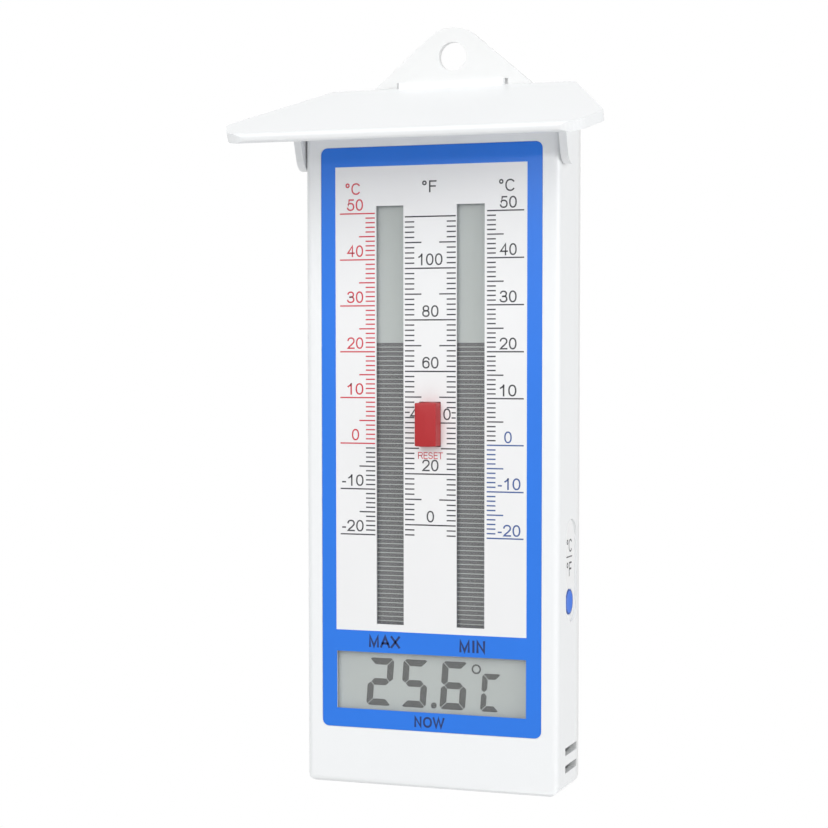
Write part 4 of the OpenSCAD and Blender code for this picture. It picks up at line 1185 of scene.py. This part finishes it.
@dataclass
class UnitButton:
    """The round blue button in the side recess, and the marks beside it. Sizes are in millimetres.

    Attributes:
        flange: how far its flange stands out.
        flange_thick: the flange's thickness.
        edge: radius of its outer edge.
        dish: depth of its dished face.
        rim: width of the dark ring round its face, which is painted shade of the gap round the button.
        count: points round it.
        skin: how far the dark ring stands out of the button.
        sunk: how far the dark ring reaches into the button.
        side: how far the dark ring reaches down the button's side.
        clear: gap between the dish and the dark ring.
        least: radius of the innermost ring of the dish.
        edge_steps: rings round its edge.
        dish_steps: rings across its dish.
        ink: thickness of the side marks.
        marks: each unit with its left, right, lower and upper side, from the axis and the label's foot.
        rule: half width, lower side and upper side of the line between the units.
    """

    flange: float = 1.0
    flange_thick: float = 1.0
    edge: float = 0.12
    dish: float = 0.2
    rim: float = 0.3
    count: int = 64
    skin: float = 0.012
    sunk: float = 0.01
    side: float = 1.0
    clear: float = 0.02
    least: float = 0.05
    edge_steps: int = 5
    dish_steps: int = 6
    ink: float = 0.01
    marks: tuple[tuple[str, float, float, float, float], ...] = (
        ("°C", -2.95, 2.85, 20.85, 24.8), ("°F", -2.95, 2.5, 13.6, 17.9))
    rule: tuple[float, float, float] = (3.2, 19.32, 19.7)

    def make(self) -> None:
        """Builds the button, its dark ring of painted gap shade and the side marks."""
        box = Box.of("unit_button")
        radius = (box.high.y - box.low.y) / 2 / MM - self.flange
        back, face = box.low.x / MM, box.high.x / MM
        middle = box.middle

        def ring(r: float, x: float) -> list[Vector]:
            """Returns one ring round the button's axis."""
            return [Vector((x * MM, middle.y + y * MM, middle.z + z * MM))
                    for y, z in circle(0, 0, r, self.count)]

        rings = [ring(radius + self.flange, back), ring(radius + self.flange, back + self.flange_thick),
                 ring(radius, back + self.flange_thick), ring(radius, face - self.edge)]
        for step in range(1, self.edge_steps + 1):
            turn = math.radians(90 * step / self.edge_steps)
            rings.append(ring(radius - self.edge * (1 - math.cos(turn)),
                              face - self.edge * (1 - math.sin(turn))))
        inner = radius - self.edge - self.rim
        for step in range(self.dish_steps + 1):
            share = step / self.dish_steps
            rings.append(ring(max(self.least, inner * (1 - share)),
                              face - self.dish * math.sin(share * math.pi / 2)))
        build = bmesh.new()
        add_rings(build, rings)
        button = piece("blue_button", finished_mesh("blue_button", build), BLUE, UNIT)
        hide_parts("unit_button")
        # A dark ring of painted shade over the button's edge and down its side, where the gap round it falls
        # in shade.
        edge = bmesh.new()
        near, far, foot = inner + self.clear, radius - self.edge, face - self.side
        lines = [ring(r, x) for r, x in (
            (near, face - self.sunk), (near, face + self.skin), (far, face + self.skin),
            (radius + self.skin, face - self.edge), (radius + self.skin, foot), (radius - self.sunk, foot),
            (radius - self.sunk, face - self.edge), (far, face - self.sunk))]
        add_rings(edge, lines, looped=True)
        piece("blue_button_painted_shade_ring", finished_mesh("blue_button_painted_shade_ring", edge), BLUE_GAP_SHADE, UNIT)
        self._marks(middle.y / MM)

    def _marks(self, axis_y: float) -> None:
        """Prints the two units and the line between them on the side label.

        Args:
            axis_y: Y of the button's axis, in millimetres.
        """
        label = Box.of("side_label")
        surface, low = label.high.x, label.low.z / MM
        build = bmesh.new()

        def onto_side(first: int) -> None:
            """Turns what was added after a vertex count from the front plane to the side."""
            build.verts.ensure_lookup_table()
            for v in list(build.verts)[first:]:
                v.co = Vector((surface - v.co.y, v.co.x, v.co.z))

        for words, left, right, foot, head in self.marks:
            first = len(build.verts)
            add_text(build, words, (axis_y + left) * MM, (axis_y + right) * MM, (low + foot) * MM,
                     (low + head) * MM, -self.ink * MM, 0)
            onto_side(first)
        first = len(build.verts)
        half, foot, head = self.rule
        add_prism(build, rectangle((axis_y - half) * MM, (axis_y + half) * MM, (low + foot) * MM,
                                   (low + head) * MM), -self.ink * MM, 0)
        onto_side(first)
        piece("print_side_marks", finished_mesh("side_marks", build), INK_BLACK, CASING)


# ---------------------------------------------------------------- fasteners and inner parts


@dataclass
class CrossScrews:
    """Pan-head screws with a cross recess, at the places of a node's screws. Sizes are in millimetres.

    Attributes:
        node: the node that they replace.
        shank: radius of the thread.
        head: radius of the head.
        head_high: height of the head.
        pitch: pitch of the thread.
        recess: width across the cross.
        arm: width of each arm of the cross.
        root: the thread's root as a share of its radius.
        depth: depth of the cross.
        taper: the cross's width at its foot as a share of its width above.
        collar: plain length under the head.
        point: length of the plain end.
        first_turn: turn of the first screw's cross, in radians.
        next_turn: further turn of each next screw's cross, in radians.
    """

    node: str
    shank: float
    head: float
    head_high: float = 1.5
    pitch: float = 0.9
    recess: float = 2.6
    arm: float = 0.55
    root: float = 0.82
    depth: float = 0.95
    taper: float = 0.55
    collar: float = 0.4
    point: float = 1.6
    first_turn: float = 0.3
    next_turn: float = 0.6

    def _mesh(self, length: float) -> bpy.types.Mesh:
        """Makes one screw that points along -Y from the back of its head at the origin.

        Args:
            length: the whole length, head included.

        Returns:
            Its mesh, in metres.
        """
        profile: list[Point] = [(self.head - 0.5, 0), (self.head - 0.15, -0.25), (self.head, -0.6),
                                (self.head, -self.head_high), (self.shank, -self.head_high)]
        y = -self.head_high - self.collar
        while y > -length + self.point:
            profile += [(self.shank * self.root, y), (self.shank, y - self.pitch * 0.45),
                        (self.shank * self.root, y - self.pitch * 0.9)]
            y -= self.pitch
        profile += [(self.shank * 0.7, -length + 1.0), (0.1, -length)]
        build = bmesh.new()
        add_rings(build, [[Vector((x * MM, depth * MM, z * MM)) for x, z in circle(0, 0, r, 24)]
                          for r, depth in profile])
        mesh = finished_mesh(f"{self.node}_blank", build)
        cutter = bmesh.new()
        half, arm = self.recess / 2, self.arm / 2
        cross = [(arm, arm), (arm, half), (-arm, half), (-arm, arm), (-half, arm), (-half, -arm),
                 (-arm, -arm), (-arm, -half), (arm, -half), (arm, -arm), (half, -arm), (half, arm)]
        add_rings(cutter, [[Vector((x * MM, 1.0 * MM, z * MM)) for x, z in cross],
                           [Vector((x * MM * self.taper, -self.depth * MM, z * MM * self.taper))
                            for x, z in cross]])
        return carve(mesh, finished_mesh(f"{self.node}_cross", cutter))

    def make(self, node: bpy.types.Object) -> None:
        """Builds the screws where the node's screws are.

        Args:
            node: the node's object.
        """
        places, back, length = screw_places(node)
        one = self._mesh(length / MM)
        build = bmesh.new()
        for index, place in enumerate(places):
            copy = one.copy()
            turned = Matrix.Rotation(self.next_turn * index + self.first_turn, 4, "Y")
            copy.transform(Matrix.Translation((place.x, back, place.y)) @ turned)
            build.from_mesh(copy)
            bpy.data.meshes.remove(copy)
        screws = piece(f"{self.node}_cross_head", finished_mesh(self.node, build, 40), STEEL, CASING)
        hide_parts(self.node)


def carve(target: bpy.types.Mesh, cutter: bpy.types.Mesh) -> bpy.types.Mesh:
    """Cuts one closed mesh out of another.

    Args:
        target: the mesh to cut.
        cutter: the mesh to cut away.

    Returns:
        The mesh that is left.
    """
    body = bpy.data.objects.new("carve_body", target)
    tool = bpy.data.objects.new("carve_tool", cutter)
    for part in (body, tool):
        bpy.context.scene.collection.objects.link(part)
    cut = body.modifiers.new("cut", "BOOLEAN")
    cut.operation, cut.solver, cut.object = "DIFFERENCE", "EXACT", tool
    bpy.context.view_layer.update()
    result = bpy.data.meshes.new_from_object(body.evaluated_get(bpy.context.evaluated_depsgraph_get()))
    for part in (body, tool):
        bpy.data.objects.remove(part)
    return result


def screw_places(node: bpy.types.Object) -> tuple[list[Vector], float, float]:
    """Finds where a node's four screws stand, from its mesh.

    Args:
        node: the node that holds the screws.

    Returns:
        Each axis as (x, z), the highest Y and the length along Y.
    """
    points = [v.co for v in node.data.vertices]
    mid_z = (min(p.z for p in points) + max(p.z for p in points)) / 2
    places = []
    for right in (False, True):
        for upper in (False, True):
            near = [p for p in points if (p.x > 0) == right and (p.z > mid_z) == upper]
            xs, zs = [p.x for p in near], [p.z for p in near]
            places.append(Vector(((min(xs) + max(xs)) / 2, (min(zs) + max(zs)) / 2)))
    ys = [p.y for p in points]
    return places, max(ys), max(ys) - min(ys)


@dataclass
class CellBand:
    """The dark band on the battery cell. Sizes are in millimetres.

    Attributes:
        share: share of the cell's length that the band covers.
        lift: how far the band stands off the sleeve.
        sink: how far it reaches into the sleeve.
        below: how far its top stands below the tip of the cell.
        count: points round it.
    """

    share: float = 0.3
    lift: float = 0.02
    sink: float = 0.1
    below: float = 3.2
    count: int = 48

    def make(self) -> None:
        """Builds the band."""
        box = Box.of("battery_cell")
        middle, radius = box.middle, (box.high.x - box.low.x) / 2
        high = box.high.z - self.below * MM
        low = high - self.share * (box.high.z - box.low.z)
        build = bmesh.new()
        outer, inner = radius + self.lift * MM, radius - self.sink * MM
        around = circle(0, 0, 1, self.count)
        sides = ((outer, low), (outer, high), (inner, high), (inner, low))
        add_rings(build, [[Vector((middle.x + x * r, middle.y + y * r, z)) for x, y in around]
                          for r, z in sides], looped=True)
        piece("cell_band", finished_mesh("cell_band", build), SLEEVE_DARK, CASING)


@dataclass
class BoardTracks:
    """Copper tracks under the solder mask on the back of the board. Sizes are in millimetres.

    Attributes:
        wide: width of a track.
        thick: height of a track.
        pitch: distance between tracks.
        count: tracks that go up, and as many that go down.
        under: how far they reach under the chip's resin.
        start: distance from the resin to the nearest upright run.
        squeeze: how much closer together they leave the resin.
        beside: how far a track that goes down leaves the resin below one that goes up.
        top: distance from the highest end to the board's top.
        foot: distance from the lowest end to the board's foot.
    """

    wide: float = 0.35
    thick: float = 0.02
    pitch: float = 1.1
    count: int = 9
    under: float = 0.5
    start: float = 2.0
    squeeze: float = 0.7
    beside: float = 0.3
    top: float = 6.0
    foot: float = 22.0

    def make(self) -> None:
        """Builds the tracks."""
        board = Box.of("circuit_board")
        chip = Box.of("chip_resin")
        back = board.high.y
        build = bmesh.new()

        def track(points: Sequence[Point]) -> None:
            """Adds one track along straight runs."""
            for (x0, z0), (x1, z1) in zip(points, points[1:]):
                half = self.wide * MM / 2
                add_prism(build, rectangle(min(x0, x1) - half, max(x0, x1) + half, min(z0, z1) - half,
                                           max(z0, z1) + half), back, back + self.thick * MM)

        under = chip.low.x + self.under * MM
        for i in range(self.count):
            x = chip.low.x - (self.start + i * self.pitch) * MM
            z = chip.middle.z + (i - self.count // 2) * self.pitch * self.squeeze * MM
            track([(under, z), (x, z), (x, board.high.z - (self.top + i * self.pitch) * MM)])
            lower = z - self.beside * MM
            track([(under, lower), (x, lower), (x, board.low.z + (self.foot + i) * MM)])
        piece("board_tracks", finished_mesh("board_tracks", build), TRACK, CASING)


@dataclass
class DoorMarks:
    """The moulded marks on the battery door. Sizes are in millimetres.

    Attributes:
        high: how far the marks stand out.
        sink: how far they reach into the door.
        foot: height of the arrow's tip above the door's lower edge.
        arrow: half width and height of the arrow.
        signs: the bars of the pole signs, each as left, right, low and high above the arrow's tip.
    """

    high: float = 0.08
    sink: float = 0.05
    foot: float = 15.0
    arrow: tuple[float, float] = (2.6, 3.2)
    signs: tuple[tuple[float, float, float, float], ...] = (
        (-0.7, 0.7, 28.6, 29.2), (-0.9, 0.9, 33.6, 34.2), (-0.3, 0.3, 33.0, 34.8))

    def make(self) -> None:
        """Builds an arrow and the pole signs."""
        door = Box.of("battery_door")
        face, middle = door.high.y, door.middle
        build = bmesh.new()
        low = door.low.z + self.foot * MM

        def plate(outline: Sequence[Point]) -> None:
            """Adds one raised mark."""
            add_prism(build, [(middle.x + x * MM, low + z * MM) for x, z in outline], face - self.sink * MM,
                      face + self.high * MM)

        half, rise = self.arrow
        plate([(0, 0), (half, rise), (-half, rise)])
        for sign in self.signs:
            plate(rectangle(*sign))
        piece("door_marks", finished_mesh("door_marks", build), WHITE, DOOR)


# ---------------------------------------------------------------- studio


@dataclass(frozen=True)
class Lamp:
    """One soft square lamp that faces the thermometer. Lengths are in metres.

    Attributes:
        name: its name.
        place: where it hangs.
        size: its width.
        power: its power in watts.
    """

    name: str
    place: tuple[float, float, float]
    size: float
    power: float

    def hang(self, aim: Vector) -> None:
        """Hangs the lamp.

        Args:
            aim: the point that it faces.
        """
        data = bpy.data.lights.new(self.name, "AREA")
        data.size, data.energy = self.size, self.power
        lamp = bpy.data.objects.new(self.name, data)
        lamp.location = self.place
        lamp.rotation_euler = (aim - Vector(self.place)).to_track_quat("-Z", "Y").to_euler()
        bpy.context.scene.collection.objects.link(lamp)


@dataclass
class Studio:
    """The plain floor, the soft lamps and the camera. Lengths are in metres.

    Attributes:
        eye: where the camera stands.
        look: the direction that it looks in.
        sensor: width of its sensor in millimetres.
        lens: its focal length in millimetres.
        shift: sideways and upward shift of the lens.
        floor_drop: how far the floor lies under the thermometer.
        sky_low: how bright the surroundings are below.
        sky_high: how bright the surroundings are above.
        sky_turn: the rise, up or down, at which that change is complete.
        floor_half: half the floor's width.
        floor_grey: the floor's lightness.
        aim: the point that the lamps face.
        lamps: the lamps.
    """

    eye: tuple[float, float, float] = (0.2002, -0.5938, -0.09058)
    look: tuple[float, float, float] = (-0.32597, 0.94378, -0.05504)
    sensor: float = 36.0
    lens: float = 88.1
    shift: tuple[float, float] = (-0.0308, 0.0616)
    floor_drop: float = 0.5
    sky_low: float = 0.15
    sky_high: float = 0.48
    sky_turn: float = 0.35
    floor_half: float = 6.0
    floor_grey: float = 0.9
    aim: tuple[float, float, float] = (0.0, 0.0, -0.1)
    lamps: tuple[Lamp, ...] = (
        Lamp("key", (-0.2, -1.3, 0.14), 0.08, 1.05),
        Lamp("soft_box", (-0.12, -1.15, 0.78), 1.2, 10.1),
        Lamp("fill", (1.35, -0.38, 0.28), 0.7, 7.2),
    )

    def make(self) -> None:
        """Builds the studio."""
        self._camera()
        self._world()
        self._floor()
        for lamp in self.lamps:
            lamp.hang(Vector(self.aim))

    def _camera(self) -> None:
        """Places the camera."""
        data = bpy.data.cameras.new("camera")
        data.sensor_width, data.lens = self.sensor, self.lens
        data.shift_x, data.shift_y = self.shift
        data.clip_start, data.clip_end = 0.01, 50
        camera = bpy.data.objects.new("camera", data)
        camera.location = self.eye
        camera.rotation_euler = Vector(self.look).to_track_quat("-Z", "Y").to_euler()
        bpy.context.scene.collection.objects.link(camera)
        bpy.context.scene.camera = camera

    def _seen(self, nodes: bpy.types.Nodes, links: bpy.types.NodeLinks) -> bpy.types.NodeSocket:
        """Returns a socket that is 1 for what the camera, a reflection or clear glass shows.

        Args:
            nodes: the nodes to add to.
            links: their links.

        Returns:
            The socket.
        """
        path = nodes.new("ShaderNodeLightPath")
        most = path.outputs["Is Camera Ray"]
        for name in ("Is Glossy Ray", "Is Transmission Ray"):
            either = nodes.new("ShaderNodeMath")
            either.operation = "MAXIMUM"
            links.new(most, either.inputs[0])
            links.new(path.outputs[name], either.inputs[1])
            most = either.outputs[0]
        return most

    def _world(self) -> None:
        """Lights the surroundings, more from above than from below, and shows them white."""
        world = bpy.data.worlds.new("surroundings")
        bpy.context.scene.world = world
        world.use_nodes = True
        nodes, links = world.node_tree.nodes, world.node_tree.links
        light = nodes["Background"]
        light.inputs["Color"].default_value = (0.985, 0.995, 1.0, 1)
        way = nodes.new("ShaderNodeTexCoord")
        parts = nodes.new("ShaderNodeSeparateXYZ")
        rise = nodes.new("ShaderNodeMapRange")
        rise.interpolation_type = "SMOOTHSTEP"
        for name, value in (("From Min", -self.sky_turn), ("From Max", self.sky_turn),
                            ("To Min", self.sky_low), ("To Max", self.sky_high)):
            rise.inputs[name].default_value = value
        links.new(way.outputs["Generated"], parts.inputs[0])
        links.new(parts.outputs["Z"], rise.inputs["Value"])
        links.new(rise.outputs[0], light.inputs["Strength"])
        shown = nodes.new("ShaderNodeBackground")
        shown.inputs["Color"].default_value = (1, 1, 1, 1)
        shown.inputs["Strength"].default_value = 1.0
        mix = nodes.new("ShaderNodeMixShader")
        links.new(self._seen(nodes, links), mix.inputs[0])
        links.new(light.outputs[0], mix.inputs[1])
        links.new(shown.outputs[0], mix.inputs[2])
        links.new(mix.outputs[0], nodes["World Output"].inputs["Surface"])

    def _floor(self) -> None:
        """Lays a plain pale floor under the thermometer."""
        low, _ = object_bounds()
        build = bmesh.new()
        height = low[2] - self.floor_drop
        half = self.floor_half
        build.faces.new([build.verts.new((x, y, height)) for x, y in rectangle(-half, half, -half, half)])
        mesh = bpy.data.meshes.new("floor")
        build.to_mesh(mesh)
        build.free()
        floor = bpy.data.objects.new("floor", mesh)
        bpy.context.scene.collection.objects.link(floor)
        paint = bpy.data.materials.new("pale_floor")
        paint.use_nodes = True
        nodes, links = paint.node_tree.nodes, paint.node_tree.links
        matt = nodes["Principled BSDF"]
        matt.inputs["Base Color"].default_value = (self.floor_grey, self.floor_grey, self.floor_grey, 1)
        matt.inputs["Roughness"].default_value = 0.9
        white = nodes.new("ShaderNodeEmission")
        white.inputs["Strength"].default_value = 1.0
        mix = nodes.new("ShaderNodeMixShader")
        links.new(self._seen(nodes, links), mix.inputs[0])
        links.new(matt.outputs[0], mix.inputs[1])
        links.new(white.outputs[0], mix.inputs[2])
        links.new(mix.outputs[0], nodes["Material Output"].inputs["Surface"])
        mesh.materials.append(paint)
        floor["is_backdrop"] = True


def main() -> None:
    """Builds the thermometer's looks in order."""
    logging.basicConfig(level=logging.INFO, format="%(name)s: %(message)s")
    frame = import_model()
    bpy.context.scene.view_settings.view_transform = "Standard"
    Studio().make()
    SoftShells().dress(frame["nodes"])
    PrintedLabel().make()
    BarDisplays().make()
    DigitDisplay().make()
    ClearButton().make()
    UnitButton().make()
    for screws in (CrossScrews("case_screws", shank=1.3, head=2.6),
                   CrossScrews("board_screws", shank=1.0, head=2.3, recess=2.2, pitch=0.7)):
        screws.make(frame["nodes"][screws.node])
    CellBand().make()
    BoardTracks().make()
    DoorMarks().make()


if __name__ == "__main__":
    main()
